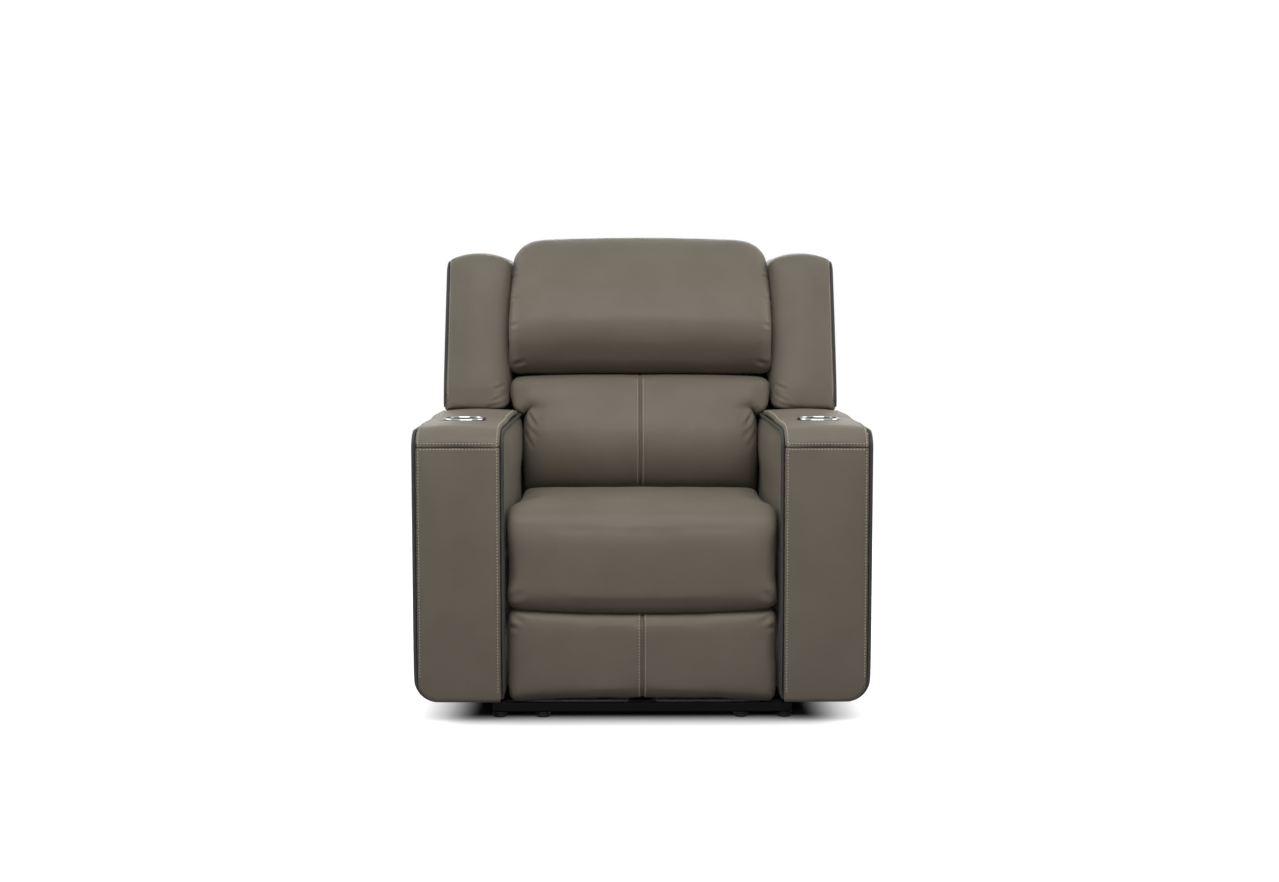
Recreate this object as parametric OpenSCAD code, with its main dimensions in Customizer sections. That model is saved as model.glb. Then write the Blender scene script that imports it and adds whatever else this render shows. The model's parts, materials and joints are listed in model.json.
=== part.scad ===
// Cinema recliner seat, single, with two padded arms, a powered back and a powered footrest.
// Frame: +X to the viewer's right when facing the seat, -Y towards the viewer, +Z up.
// Origin: on the floor, under the middle of the seat's width and depth.
// Left and right are the viewer's. The two arms mirror each other about X = 0.

/* [Overall] */
// Clear width between the two arms
inner_w = 600; // [590:1:620]
// Width of one arm, from its inner face to its outer piping
arm_w = 200; // [185:1:215]
// Distance from the origin forward to the front of the arms
front_reach = 480; // [475:1:495]
// Distance from the origin back to the rear of the outside back
rear_reach = 480; // [470:1:500]
// Height of the top of the head cushion
total_h = 1096; // [1086:1:1110]

/* [Base] */
// Height of the glides under the base tubes
glide_h = 11; // [9:0.5:13]
// Diameter of a glide
glide_d = 32; // [26:1:36]
// Side of the square base tubes
base_tube = 23; // [20:1:24]
// Distance from the front of the arms back to the front cross tube
front_tube_setback = 60; // [56:1:66]
// Length of the front cross tube
front_tube_l = 664; // [640:1:680]
// Distance from the origin back to the rear of the rear cross tube
rear_tube_y = 303; // [290:1:320]
// Spacing across the seat of the inner pair of glides
glide_inner = 440; // [420:1:460]

/* [Mechanism] */
// Thickness of the side plates of the mechanism
mech_t = 4; // [3:0.5:5]
// Distance between the inner faces of the side plates
mech_gap = 544; // [540:1:546]
// Height of the top of the seat rails
deck_z = 344; // [343:0.5:348]
// Thickness of a footrest link
link_t = 5; // [4:0.5:5]
// Width of a footrest link
link_w = 20; // [16:1:21]
// Diameter of the rivets that join the links
rivet_d = 10; // [8:0.5:12]
// Running clearance between a rivet and its hole, on the radius
rivet_gap = 0.2; // [0.15:0.05:0.3]
// Distance from the front of the arms back to the footrest's drive shaft
drive_setback = 245; // [242:1:248]
// Height of the drive link's fixed pivot
drive_pivot_z = 302; // [300:0.5:304]
// Length of the drive link between its fixed pivot and the carrier link
drive_l = 192.5; // [189:0.5:195]
// Angle of the drive link above forward, footrest closed
drive_rest = -141; // [-142:0.5:-140]
// Spacing of the two fixed pivots, and so of each parallelogram's short side
guide_l = 50; // [48:0.5:52]
// Spacing of the carrier and tie links on the drive link
tie_l = 48.5; // [47:0.5:50]
// Forward distance along the carrier link to the footrest bracket
carrier_u = 181; // [178:1:184]
// Rise along the carrier link to the footrest bracket
carrier_z = 109.5; // [108:0.5:111]
// Diameter of the drive tube that joins the two drive links
drive_tube_d = 22; // [18:1:24]
// Radius of the crank on the drive tube
crank_r = 36; // [32:1:38]
// Distance from the origin back to the recline pivot
recline_y = 165; // [160:1:168]
// Height of the recline pivot
recline_z = 345; // [342:1:348]
// Radius of the lug that the recline rod pulls
lug_r = 60; // [54:1:64]
// Reclining travel of the back
recline_travel = 40; // [30:1:40]

/* [Seat] */
// Distance from the origin back to the rear of the seat cushion
seat_rear_y = 60; // [50:1:66]
// Height of the seat cushion's top at its front, without the crown
seat_front_z = 476; // [470:1:486]
// Height of the seat cushion's top at its rear
seat_rear_z = 456; // [446:1:462]
// Distance from the front of the arms back to the front of the seat's roll
seat_setback = 27; // [24:1:32]
// Height of the bottom of the seat's front roll
roll_z = 245; // [243:1:252]
// Thickness of the seat's front roll, front to back
roll_t = 85; // [78:1:88]
// Diameter of the seat spring wire
spring_d = 4; // [3:0.5:5]
// Gap on each side between a cushion and the arm beside it
side_gap = 4; // [3:0.5:8]

/* [Footrest] */
// Height of the footrest panel's lower edge, closed
panel_low_z = 45; // [44:1:50]
// Height of the footrest panel's upper edge, closed
panel_top_z = 239; // [232:1:240]
// Thickness of the footrest cushion
panel_pad_t = 70; // [60:1:72]
// Thickness of the footrest board
board_t = 15; // [12:1:18]

/* [Back] */
// Lean of the back frame and of the rear of the back cushions, from upright
back_lean = 13; // [12.5:0.25:13.5]
// Lean of the outside back, from upright
rear_lean = 11.9; // [11:0.1:12.5]
// Distance from the origin back to the front of the back rails, at the lumbar cushion's foot
frame_y = 192; // [188:1:196]
// Height of the lumbar cushion's foot
lumbar_low_z = 402; // [398:1:406]
// Height of the crease between the lumbar and the head cushion
crease_z = 740; // [732:1:748]
// Width of the lumbar cushion between the arms
lumbar_low_w = 576; // [560:1:580]
// Width of the head cushion
head_w = 666; // [650:1:668]
// Height of the foot of the two wings, above the arms
wing_low_z = 662; // [661:1:670]
// Drop from the top of the head cushion to the top of the wings
wing_drop = 47; // [42:1:56]
// Overhang of the head cushion in front of the lumbar cushion's top
head_overhang = 56; // [44:1:64]

/* [Arms] */
// Height of the lower edge of the arms
arm_low_z = 55; // [50:1:60]
// Height of the top of the arms at the piping
arm_top_z = 649; // [645:1:651]
// Distance from the origin back to the rear end of the arms
arm_rear_y = 200; // [194:1:202]
// Radius of the bend from the arm's front to its top
arm_bend = 50; // [40:1:60]
// Radius of the bend along the arm's lower outer edge
arm_under_r = 55; // [45:1:60]
// Height of the cross seam in the arm's front
arm_seam_z = 606; // [590:1:606]
// Crown of the padded arm top and front
arm_crown = 6; // [3:0.5:8]
// Diameter of the piping
pipe_d = 8; // [6:0.5:9]
// Thickness of the padded side covers
cover_t = 12; // [10:0.5:13]
// Thickness of the boards in the arm frame
arm_board = 15; // [12:1:16]

/* [Cup holder] */
// Inner diameter of the cup holder
cup_d = 80; // [74:1:84]
// Depth of the cup holder
cup_depth = 72; // [60:1:80]
// Diameter of the cup holder's rim
cup_rim_d = 96; // [92:1:104]
// Distance from the front of the arms back to the cup holder's centre
cup_setback = 185; // [170:1:200]

/* [Switch] */
// Width of the switch plate along the arm
switch_w = 84; // [80:1:90]
// Height of the switch plate
switch_h = 52; // [48:1:60]
// Diameter of a push button
button_d = 20; // [16:1:22]
// Travel of a push button
button_travel = 2.5; // [2:0.25:3]

/* [Hidden] */
$fn = 48;
leather = [0.42, 0.385, 0.35];
leather_dark = [0.36, 0.33, 0.3];
piping = [0.2, 0.195, 0.185];
black_steel = [0.07, 0.07, 0.075];
zinc = [0.6, 0.6, 0.62];
plywood = [0.72, 0.58, 0.4];
chrome = [0.8, 0.8, 0.82];
plastic = [0.1, 0.1, 0.1];

// Seat gap between pieces that touch on the real seat, and overrun of a cut
fit = 0.3;
over = 1;

// Places that follow the front of the arms, the top and the front tube
front_tube_u = front_reach - front_tube_setback;
drive_pivot_u = front_reach - drive_setback;
seat_front_u = front_reach - seat_setback;
cup_u = front_reach - cup_setback;
glide_outer = front_tube_l - glide_d;
wing_top_z = total_h - wing_drop;
hood_drop = 101;
hood_z = total_h - hood_drop;

// Arm: a boarded core, then padded covers, with piping in the notches between the covers
arm_in = inner_w/2;
arm_out = arm_in + arm_w;
pipe_r = pipe_d/2;
pad_t = 12;
core_front_y = -front_reach + arm_crown + pad_t;
core_rear_y = arm_rear_y - arm_crown - pad_t;
core_in_x = arm_in + cover_t + fit;
core_out_x = arm_out - pipe_r - cover_t;
core_top_z = arm_top_z - pad_t;
pipe_off = pipe_r + fit;
pipe_in_x = arm_in + pipe_r;
pipe_out_x = arm_out - pipe_r;
band_in_x = arm_in + pipe_d + fit;
band_out_x = arm_out - pipe_d - fit;
side_front_y = core_front_y + fit;
side_rear_y = core_rear_y - fit;
side_top_z = core_top_z - fit;
core_bend = arm_bend - pad_t;
rear_bend = 20;
cup_x = arm_in + arm_w/2;
cup_wall = 1.5;
cup_rim_h = 3;
cup_rim_z = arm_top_z + arm_crown + fit;
cup_bore = cup_d + 2*cup_wall + 2*fit;

// Layers of the mechanism, outwards from the middle: brackets, links, side plate
mech_x = mech_gap/2;
layer_gap = 3;
outer_layer_x = mech_x - layer_gap - link_t;
inner_layer_x = outer_layer_x - layer_gap - link_t;
head_t = 2;
head_r_share = 0.85;
head_r = rivet_d*head_r_share;
boss_rim = 1;
boss_r = link_w/2 + boss_rim;
rail_h = 18;
rail_t = 20;
rail_r = 3;
rail_low_z = deck_z - rail_h;
rail_setback = 135;
rail_front_y = rail_setback - front_reach;
rail_rear_y = 95;
spring_lift = spring_d/2 + fit;
cushion_low_z = deck_z + spring_d + 2*fit;

// Footrest linkage, as points [forward, up] with the footrest closed
guide_angle = 182.5;
tie_angle = 37;
function dir(a) = [cos(a), sin(a)];
drive_pivot = [drive_pivot_u, drive_pivot_z];
guide_step = guide_l*dir(guide_angle);
guide_pivot = drive_pivot + guide_step;
carrier_pin = drive_pivot + drive_l*dir(drive_rest);
guide_pin = carrier_pin + guide_step;
tie_step = tie_l*dir(drive_rest + tie_angle);
tie_pin = carrier_pin + tie_step;
bracket_pin = carrier_pin + [carrier_u, carrier_z];
bracket_tie_pin = bracket_pin + tie_step;
crank_rest = -135;
crank_pin = drive_pivot + crank_r*dir(crank_rest);

// Footrest panel
panel_recess = 30;
panel_back_u = front_reach - panel_recess - panel_pad_t - board_t;
panel_half = arm_in - side_gap;

// Recline drive
lug_x = 90;
lug_rest = recline_travel/2 - 90;
lug_pin_y = recline_y + lug_r*cos(lug_rest);
lug_pin_z = recline_z + lug_r*sin(lug_rest);
lug_mid_z = recline_z - lug_r*(1 + cos(recline_travel/2))/2;
rod_stroke = 2*lug_r*sin(recline_travel/2);

// Drives
bar_y = 45;
bar_z = 232;
bar_s = 22;
track_w = 30;
track_h = 12;
track_z = bar_z + bar_s/2 + fit;
track_top = track_z + track_h;
pin_d = 10;
slot_side = 1.4;

// Back
function rear_at(z) = rear_reach - rear_crown - (hood_z - z)*tan(rear_lean);
rear_crown = 6;
rear_cover_t = 14;
side_cover_t = 14;
back_inset = 2;
back_half = arm_out - pipe_r - back_inset;
wing_gap = side_gap - over;
wing_in_x = head_w/2 + wing_gap;
upright_x = 258;
upright_w = 20;
upright_t = 30;
back_rail_t = 20;
back_rail_h = 28;
bracket_x = upright_x + upright_w - over;
bracket_t = 5;
pivot_boss_r = 24;
recline_pin_d = 16;
lower_rail_z = 415;
mid_rail_z = 690;
top_rail_drop = 33;
top_rail_z = hood_z - top_rail_drop;
web_t = 2;
web_w = 50;

// Outline and skin functions
function wrap(a) = a > 180 ? a - 360 : a <= -180 ? a + 360 : a;
function corner(a, b, c, r, n) = r == 0 ? [b] : let(
    u = (a - b)/norm(a - b), v = (c - b)/norm(c - b),
    half = acos(max(-1, min(1, u*v)))/2,
    centre = b + (u + v)/norm(u + v)*r/sin(half),
    p = b + u*r/tan(half) - centre, q = b + v*r/tan(half) - centre,
    start = atan2(p[1], p[0]), sweep = wrap(atan2(q[1], q[0]) - start))
    [for (i = [0:n]) centre + r*dir(start + sweep*i/n)];
function rounded(pts, radii, n = 4) = let(k = len(pts))
    [for (i = [0:k - 1]) each corner(pts[(i + k - 1) % k], pts[i], pts[(i + 1) % k], radii[i], n)];
function rect_points(w, h, r) = rounded([[0, 0], [w, 0], [w, h], [0, h]], [r, r, r, r], 4);
function outward(pts, i) = let(k = len(pts), d = pts[(i + 1) % k] - pts[(i + k - 1) % k])
    [d[1], -d[0]]/norm(d);
function mean(pts) = [for (i = [0:len(pts[0]) - 1]) [for (p = pts) p[i]]*[for (p = pts) 1]/len(pts)];

// Closed skin over rings of equal point count, all triangles, with a fan on each end
module skin(rings, hubs = undef) {
    n = len(rings[0]);
    m = len(rings);
    ends = hubs == undef ? [mean(rings[0]), mean(rings[m - 1])] : hubs;
    points = concat([for (r = rings) each r], ends);
    walls = [for (k = [0:m - 2], i = [0:n - 1]) let(j = (i + 1) % n)
        each [[k*n + i, (k + 1)*n + j, k*n + j], [k*n + i, (k + 1)*n + i, (k + 1)*n + j]]];
    low = [for (i = [0:n - 1]) [i, (i + 1) % n, m*n]];
    high = [for (i = [0:n - 1]) [(m - 1)*n + (i + 1) % n, (m - 1)*n + i, m*n + 1]];
    polyhedron(points, concat(walls, low, high), convexity = 6);
}

// Outline of the corners moved inwards by d, and the radii that go with it
function turn(a, b, c) = let(u = unit(b - a), v = unit(c - b)) u[0]*v[1] - u[1]*v[0];
function inset(pts, d) = let(k = len(pts)) [for (i = [0:k - 1]) let(
    u = unit(pts[i] - pts[(i + k - 1) % k]), v = unit(pts[(i + 1) % k] - pts[i]))
    pts[i] + d*([-u[1], u[0]] + [-v[1], v[0]])/(1 + u*v)];
least_r_share = 0.3;
function inset_radii(pts, radii, d) = let(k = len(pts)) [for (i = [0:k - 1])
    radii[i] == 0 ? 0 : turn(pts[(i + k - 1) % k], pts[i], pts[(i + 1) % k]) < 0 ? radii[i] + d
    : max(radii[i] - d, radii[i]*least_r_share)];

// Padded form: side outline corners [y, z] with their radii, carried across X from x0 to x1.
// Its ends are drawn in by edge, its face towards the angle "facing" swells by crown,
// its top corners drop over drop_w by drop_h, and a seam groove may lie in the middle.
module padded(pts, radii, x0, x1, edge, crown, facing, drop_w = 0, drop_h = 0, base_z = 0,
        seam = 0, n = 4, steps = 4, mid = 3, flare = [0, 1, 0], hub = undef) {
    mid_x = (x0 + x1)/2;
    half = (x1 - x0)/2;
    tall = max([for (p = pts) p[1]]) - base_z;
    reach = max(edge, drop_w);
    lead = [for (i = [0:steps]) -half + reach*(1 - cos(90*i/steps))];
    inner = [for (i = [1:mid]) -half + reach + (half - reach - seam_w)*i/mid];
    left = concat(lead, inner);
    stations = concat(left, seam > 0 ? [0] : [], [for (i = [len(left) - 1:-1:0]) -left[i]]);
    skin([for (x = stations) let(
        near = half - abs(x),
        draw = near < edge ? edge - sqrt(max(0, edge*edge - (edge - near)*(edge - near))) : 0,
        dropped = near < drop_w ? drop_h*(1 - sqrt(max(0, 1 - pow((drop_w - near)/drop_w, 2)))) : 0,
        swell = crown*(1 - pow(abs(x)/half, 2)) - (x == 0 ? seam : 0),
        ring = rounded(inset(pts, draw), inset_radii(pts, radii, draw), n))
        [for (i = [0:len(ring) - 1]) let(
            out = outward(ring, i),
            p = ring[i] + out*swell*max(0, out*dir(facing)),
            wide = 1 + flare[2]*max(0, min(1, (p[1] - flare[0])/(flare[1] - flare[0]))),
            down = dropped*max(0, p[1] - base_z)/tall)
            [mid_x + x*wide, p[0] - down*tan(back_lean), p[1] - down]]],
        hub == undef ? undef : let(down = drop_w > 0 ? drop_h*max(0, hub[1] - base_z)/tall : 0)
            [for (x = [x0, x1]) [x, hub[0] - down*tan(back_lean), hub[1] - down]]);
}
seam_w = 5;

// Bars along each axis between two opposite corners, with rounded long edges
module bar_x(a, b, r) translate(a) rotate([90, 0, 90]) linear_extrude(b[0] - a[0])
    polygon(rect_points(b[1] - a[1], b[2] - a[2], r));
module bar_y(a, b, r) translate([a[0], b[1], a[2]]) rotate([90, 0, 0]) linear_extrude(b[1] - a[1])
    polygon(rect_points(b[0] - a[0], b[2] - a[2], r));
module bar_z(a, b, r) translate(a) linear_extrude(b[2] - a[2])
    polygon(rect_points(b[0] - a[0], b[1] - a[1], r));
module block(a, b) translate(a) cube(b - a);

// Plate from a [y, z] outline, and disc and arm of a link at [forward, up] points
module plate_x(x, t, pts) translate([x, 0, 0]) rotate([90, 0, 90]) linear_extrude(t) polygon(pts);
module disc(p, r, x, t) translate([x, -p[0], p[1]]) rotate([0, 90, 0]) cylinder(r = r, h = t);
module arm_between(p, q, w, x, t) {
    side = w/2*[-(q - p)[1], (q - p)[0]]/norm(q - p);
    plate_x(x, t, [for (c = [p + side, p - side, q - side, q + side]) [-c[0], c[1]]]);
}
module mirrored(s) mirror([s < 0 ? 1 : 0, 0, 0]) children();
module both_sides() for (s = [-1, 1]) mirrored(s) children();

// Base
module base_frame() color(black_steel) {
    low = glide_h;
    high = glide_h + base_tube;
    bar_x([-front_tube_l/2, -front_tube_u, low], [front_tube_l/2, base_tube - front_tube_u, high], rail_r);
    bar_x([-front_tube_l/2, rear_tube_y - base_tube, low], [front_tube_l/2, rear_tube_y, high], rail_r);
    both_sides() bar_y([mech_x + mech_t/2 - base_tube/2, base_tube/2 - front_tube_u, low],
        [mech_x + mech_t/2 + base_tube/2, rear_tube_y - base_tube/2, high], rail_r);
}
glide_stem_d = 12;
glide_lip = 2;
module glide_feet() color(plastic)
    for (x = [-glide_outer/2, -glide_inner/2, glide_inner/2, glide_outer/2],
            y = [base_tube/2 - front_tube_u, rear_tube_y - base_tube/2])
        translate([x, y, 0]) rotate_extrude() polygon([[0, 0], [glide_d/2 - glide_lip, 0],
            [glide_d/2, glide_lip], [glide_d/2, glide_h - 2*glide_lip], [glide_stem_d, glide_h - glide_lip],
            [glide_stem_d, glide_h], [0, glide_h]]);
bracket_w = 62;
bracket_sheet = 3;
bracket_setback = 131;
bracket_back_u = front_reach - bracket_setback;
module drive_bracket() color(black_steel) {
    foot_z = glide_h + base_tube;
    top = track_z;
    difference() {
        union() {
            block([-bracket_w/2, -front_tube_u + rail_r, foot_z],
                [bracket_w/2, -bracket_back_u, foot_z + bracket_sheet]);
            block([-bracket_w/2, -bracket_back_u - bracket_sheet, foot_z],
                [bracket_w/2, -bracket_back_u, top]);
            block([-bracket_w/2, -bracket_back_u - bracket_sheet, top - bracket_sheet],
                [bracket_w/2, base_tube - bracket_back_u, top]);
        }
        for (z = [foot_z + bracket_w, top - bracket_w])
            translate([0, -bracket_back_u + over, z]) rotate([90, 0, 0])
                cylinder(d = bracket_w/2, h = bracket_sheet + 2*over);
    }
}
module mech_outline_plate() {
    low = glide_h + base_tube;
    front = rail_front_y;
    rear = recline_y + pivot_boss_r;
    waist = deck_z - 2*rail_h - boss_r;
    difference() {
        plate_x(mech_x, mech_t, rounded([[front + waist_cut, low], [bar_y + waist_cut, low],
            [bar_y + waist_cut, waist_low],
            [rear, recline_z - 2*pivot_boss_r], [rear, recline_z + pivot_boss_r],
            [recline_y - pivot_boss_r, recline_z + pivot_boss_r], [recline_y - 2*pivot_boss_r, deck_z],
            [front, deck_z], [front, waist], [front + waist_cut, waist_low]],
            [boss_r, boss_r, waist_cut, pivot_boss_r - over, pivot_boss_r - over, pivot_boss_r - over,
            boss_r, rail_r, boss_r, waist_cut], 4));
        for (p = [drive_pivot, guide_pivot]) disc(p, rivet_d/2 + fit, mech_x - over, mech_t + 2*over);
        disc([-recline_y, recline_z], recline_pin_d/2 + fit, mech_x - over, mech_t + 2*over);
        for (i = [0:2]) disc([-front - waist_cut - hole_step*(i + 1), waist_low], hole_r, mech_x - over,
            mech_t + 2*over);
    }
}
waist_cut = 60;
waist_low = 150;
hole_step = 80;
hole_r = 22;
module mech_plate_left() color(black_steel) mirrored(-1) mech_outline_plate();
module mech_plate_right() color(black_steel) mech_outline_plate();

// Fixed pins: two per side for the footrest links and one per side for the back
module pivot_pins() color(zinc) both_sides() {
    for (p = [drive_pivot, guide_pivot]) {
        disc(p, head_r, mech_x + mech_t, head_t);
        disc(p, rivet_d/2, outer_layer_x + fit, mech_x + mech_t - outer_layer_x - fit);
        disc(p, head_r, outer_layer_x + link_t + fit, layer_gap - fit);
    }
    disc(guide_pivot, rivet_d/2, outer_layer_x - fit - head_t, link_t);
    disc(guide_pivot, head_r, outer_layer_x - fit - head_t, head_t);
    disc([-recline_y, recline_z], recline_pin_d/2, mech_x - head_t, bracket_x + bracket_t - mech_x + head_t);
    disc([-recline_y, recline_z], recline_pin_d/2 + head_t, mech_x - head_t, head_t);
    disc([-recline_y, recline_z], recline_pin_d/2 + head_t, bracket_x + bracket_t + fit, head_t);
    disc([-recline_y, recline_z], recline_pin_d/2, bracket_x, bracket_t + fit);
}
spacer_d = 18;
spacer_front_setback = 250;
spacer_rear_y = 20;
spacer_u = [front_reach - spacer_front_setback, -spacer_rear_y];
spacer_z = 110;
module arm_spacers() color(zinc) both_sides() for (u = spacer_u)
    disc([u, spacer_z], spacer_d/2, mech_x + mech_t, core_in_x - mech_x - mech_t);

// Fixed parts of the two drives
module drive_cross_bar() color(black_steel)
    bar_x([-mech_x, bar_y - bar_s/2, bar_z - bar_s/2], [mech_x, bar_y + bar_s/2, bar_z + bar_s/2], rail_r);
screw_d = 8;
groove_w = 16;
groove_h = 9;
track_front_y = -bracket_back_u - bracket_sheet;
track_end = 14;
screw_z = track_top - groove_h/2;
module drive_track() color(zinc) {
    rear = bar_y + bar_s/2;
    difference() {
        bar_y([-track_w/2, track_front_y, track_z], [track_w/2, rear, track_top], over);
        block([-groove_w/2, track_front_y + track_end, track_top - groove_h],
            [groove_w/2, rear - track_end, track_top + over]);
    }
    translate([0, rear - track_end, screw_z]) rotate([90, 0, 0])
        cylinder(d = screw_d, h = rear - track_front_y - 2*track_end);
}
motor_d = 44;
motor_l = 78;
gear_w = 56;
gear_l = 46;
gear_h = 50;
module drive_motor() color(plastic) {
    front = bar_y + bar_s/2 + fit;
    low = track_top - gear_h + rail_r;
    bar_y([-gear_w/2, front, low], [gear_w/2, front + gear_l, low + gear_h], 2*rail_r);
    translate([0, front + gear_l/2, low - motor_l]) cylinder(d = motor_d, h = motor_l + over);
    translate([0, front + gear_l/2, low - motor_l - rail_r]) cylinder(d = motor_d/2, h = motor_l);
}
tube_d = 30;
rod_d = 14;
tube_end_y = 125;
tube_bore_l = 62;
module recline_motor() color(plastic) {
    z = lug_mid_z;
    front = bar_y - bar_s/2;
    difference() {
        union() {
            translate([lug_x, tube_end_y, z]) rotate([90, 0, 0]) cylinder(d = tube_d, h = tube_end_y - front);
            bar_y([lug_x - tube_d/2 - rail_r, front, bar_z + bar_s/2],
                [lug_x + tube_d/2 + rail_r, front + bar_s, z + tube_d/2 + rail_r], rail_r);
        }
        translate([lug_x, tube_end_y + over, z]) rotate([90, 0, 0])
            cylinder(d = rod_d + 2*fit, h = tube_bore_l + over);
    }
    translate([lug_x, front, z]) rotate([90, 0, 0]) cylinder(d = motor_d, h = motor_l);
}

// Seat deck
module seat_front_rail() color(black_steel)
    bar_x([-mech_x, rail_front_y, rail_low_z], [mech_x, rail_front_y + rail_t, deck_z], rail_r);
module seat_rear_rail() color(black_steel)
    bar_x([-mech_x, rail_rear_y - rail_t, rail_low_z], [mech_x, rail_rear_y, deck_z], rail_r);
board_inset = 12;
front_board_t = 12;
front_board_y = rail_front_y - fit;
module seat_front_board() color(plywood)
    bar_y([board_inset - panel_half, front_board_y - front_board_t, track_top + fit],
        [panel_half - board_inset, front_board_y, cushion_low_z - fit], rail_r);
spring_count = 5;
spring_waves = 8;
spring_swing = 22;
wave_steps = 6;
module seat_springs() color(zinc) {
    y0 = rail_front_y + rail_t/2;
    y1 = rail_rear_y - rail_t/2;
    n = spring_waves*wave_steps;
    pitch = inner_w/(spring_count + 1);
    for (k = [1:spring_count]) tube_path([for (i = [0:n])
        [k*pitch - arm_in + spring_swing*sin(360*i/wave_steps), y0 + (y1 - y0)*i/n,
        deck_z + spring_lift]], spring_d/2, 6);
}
function unit(v) = v/norm(v);
module tube_path(path, r, sides) {
    n = len(path) - 1;
    skin([for (i = [0:n]) let(
        t = unit(path[min(n, i + 1)] - path[max(0, i - 1)]),
        a = unit(cross(t, unit([1, 1, 1]))), b = cross(t, a))
        [for (k = [0:sides - 1]) path[i] + r*(cos(360*k/sides)*a + sin(360*k/sides)*b)]]);
}
seat_crown = 12;
seat_edge = 16;
seat_top_r = 62;
roll_r = 34;
module seat_cushion() color(leather) padded([
    [-seat_front_u, roll_z], [roll_t - seat_front_u, roll_z], [roll_t - seat_front_u, cushion_low_z],
    [seat_rear_y, cushion_low_z], [seat_rear_y, seat_rear_z], [-seat_front_u, seat_front_z]],
    [roll_r, rail_r, rail_r, rail_r, roll_r, seat_top_r],
    -panel_half, panel_half, seat_edge, seat_crown, 110,
    hub = [roll_t/2 - seat_front_u, (cushion_low_z + seat_front_z)/2]);

// Arms
module arm_frame() {
    under_r = arm_under_r - cover_t - fit;
    ends = rounded([[core_in_x, core_low_z], [core_out_x, core_low_z], [core_out_x, core_top_z],
        [core_in_x, core_top_z]], [0, under_r, 0, 0], 5);
    difference() {
        union() {
            for (y = [core_front_y, core_rear_y - arm_board])
                translate([0, y + arm_board, 0]) rotate([90, 0, 0]) linear_extrude(arm_board) polygon(ends);
            block([core_in_x, core_front_y, core_low_z], [core_in_x + arm_board, core_rear_y, core_top_z]);
            block([core_out_x - arm_board, core_front_y, arm_low_z + arm_under_r],
                [core_out_x, core_rear_y, core_top_z]);
            block([core_in_x, core_front_y, core_top_z - arm_board], [core_out_x, core_rear_y, core_top_z]);
        }
        for (y = [core_front_y, core_rear_y])
            translate([core_in_x, y, core_top_z]) rotate([0, 90, 0]) translate([0, 0, -over])
                bend_cut(y == core_front_y ? core_bend : rear_bend, y == core_front_y ? 1 : -1);
        translate([cup_x, -cup_u, core_top_z - arm_board - over])
            cylinder(d = cup_bore, h = arm_board + 2*over);
    }
}
core_low_z = arm_low_z + cover_t + fit;

// Rounds the board ends where the cover bends over them; the sign says which way the bend faces
module bend_cut(r, s) linear_extrude(core_out_x - core_in_x + 2*over)
    difference() {
        translate([-over, s > 0 ? -over : -r]) square([r + over, r + over]);
        translate([r, s*r]) circle(r = r);
    }
module arm_frame_left() color(plywood) difference() {
    mirrored(-1) arm_frame();
    mirrored(-1) switch_hole(core_out_x - arm_board - over, core_out_x + over);
}
module arm_frame_right() color(plywood) arm_frame();

// Padded band over the arm: its path is the core's side outline from the seam to the rear foot
function bend_points(c, r, a0, a1, n) = [for (i = [0:n]) let(a = a0 + (a1 - a0)*i/n)
    [c + r*dir(a), dir(a)]];
function band_path() = concat(
    [[[core_front_y, arm_seam_z + fit], dir(180)]],
    bend_points([core_front_y + core_bend, core_top_z - core_bend], core_bend, 180, 90, 8),
    [[[-cup_u, core_top_z], dir(90)]],
    bend_points([core_rear_y - rear_bend, core_top_z - rear_bend], rear_bend, 90, 0, 5),
    [[[core_rear_y, core_low_z], dir(0)]]);
band_shares = [-1, -0.97, -0.85, -0.6, -0.3, 0, 0.3, 0.6, 0.85, 0.97, 1];
edge_share = 0.6;
module arm_top_cover() {
    half = (band_out_x - band_in_x)/2;
    mid = (band_out_x + band_in_x)/2;
    difference() {
        skin([for (p = band_path()) concat(
            [for (s = band_shares) let(h = abs(s) == 1 ? pad_t*edge_share : pad_t + arm_crown*(1 - s*s),
                q = p[0] + h*p[1]) [mid + s*half, q[0], q[1]]],
            [for (s = [1, -1]) let(q = p[0] + fit*p[1]) [mid + s*half, q[0], q[1]]])]);
        translate([cup_x, -cup_u, core_top_z - over]) cylinder(d = cup_bore, h = 4*pad_t);
    }
}
module arm_top_cover_left() color(leather) mirrored(-1) arm_top_cover();
module arm_top_cover_right() color(leather) arm_top_cover();

// Panel with a crowned face: outline in its own plane, thickness and crown along +Z
panel_shares = [1, 0.98, 0.86, 0.62, 0.32];
module crowned(pts, t, crown) {
    c = mean(pts);
    skin(concat([[for (p = pts) [p[0], p[1], 0]]],
        [for (s = panel_shares) [for (p = pts) let(q = c + s*(p - c))
            [q[0], q[1], s == 1 ? t*edge_share : t + crown*(1 - s*s)]]]));
}
module arm_front_cover() translate([0, core_front_y - fit, 0]) rotate([90, 0, 0]) crowned(rounded([
    [band_in_x, arm_low_z + pipe_d + fit], [band_out_x, arm_low_z + pipe_d + fit],
    [band_out_x, arm_seam_z - fit], [band_in_x, arm_seam_z - fit]],
    [rail_r, arm_under_r - pipe_d, rail_r, rail_r], 6),
    pad_t - fit, arm_crown);
module arm_front_cover_left() color(leather) mirrored(-1) arm_front_cover();
module arm_front_cover_right() color(leather) arm_front_cover();
side_crown = 4;
function side_outline(low) = rounded([[side_front_y, low], [side_rear_y, low],
    [side_rear_y, side_top_z], [side_front_y, side_top_z]],
    [rail_r, rail_r, rear_bend, core_bend], 5);
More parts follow.
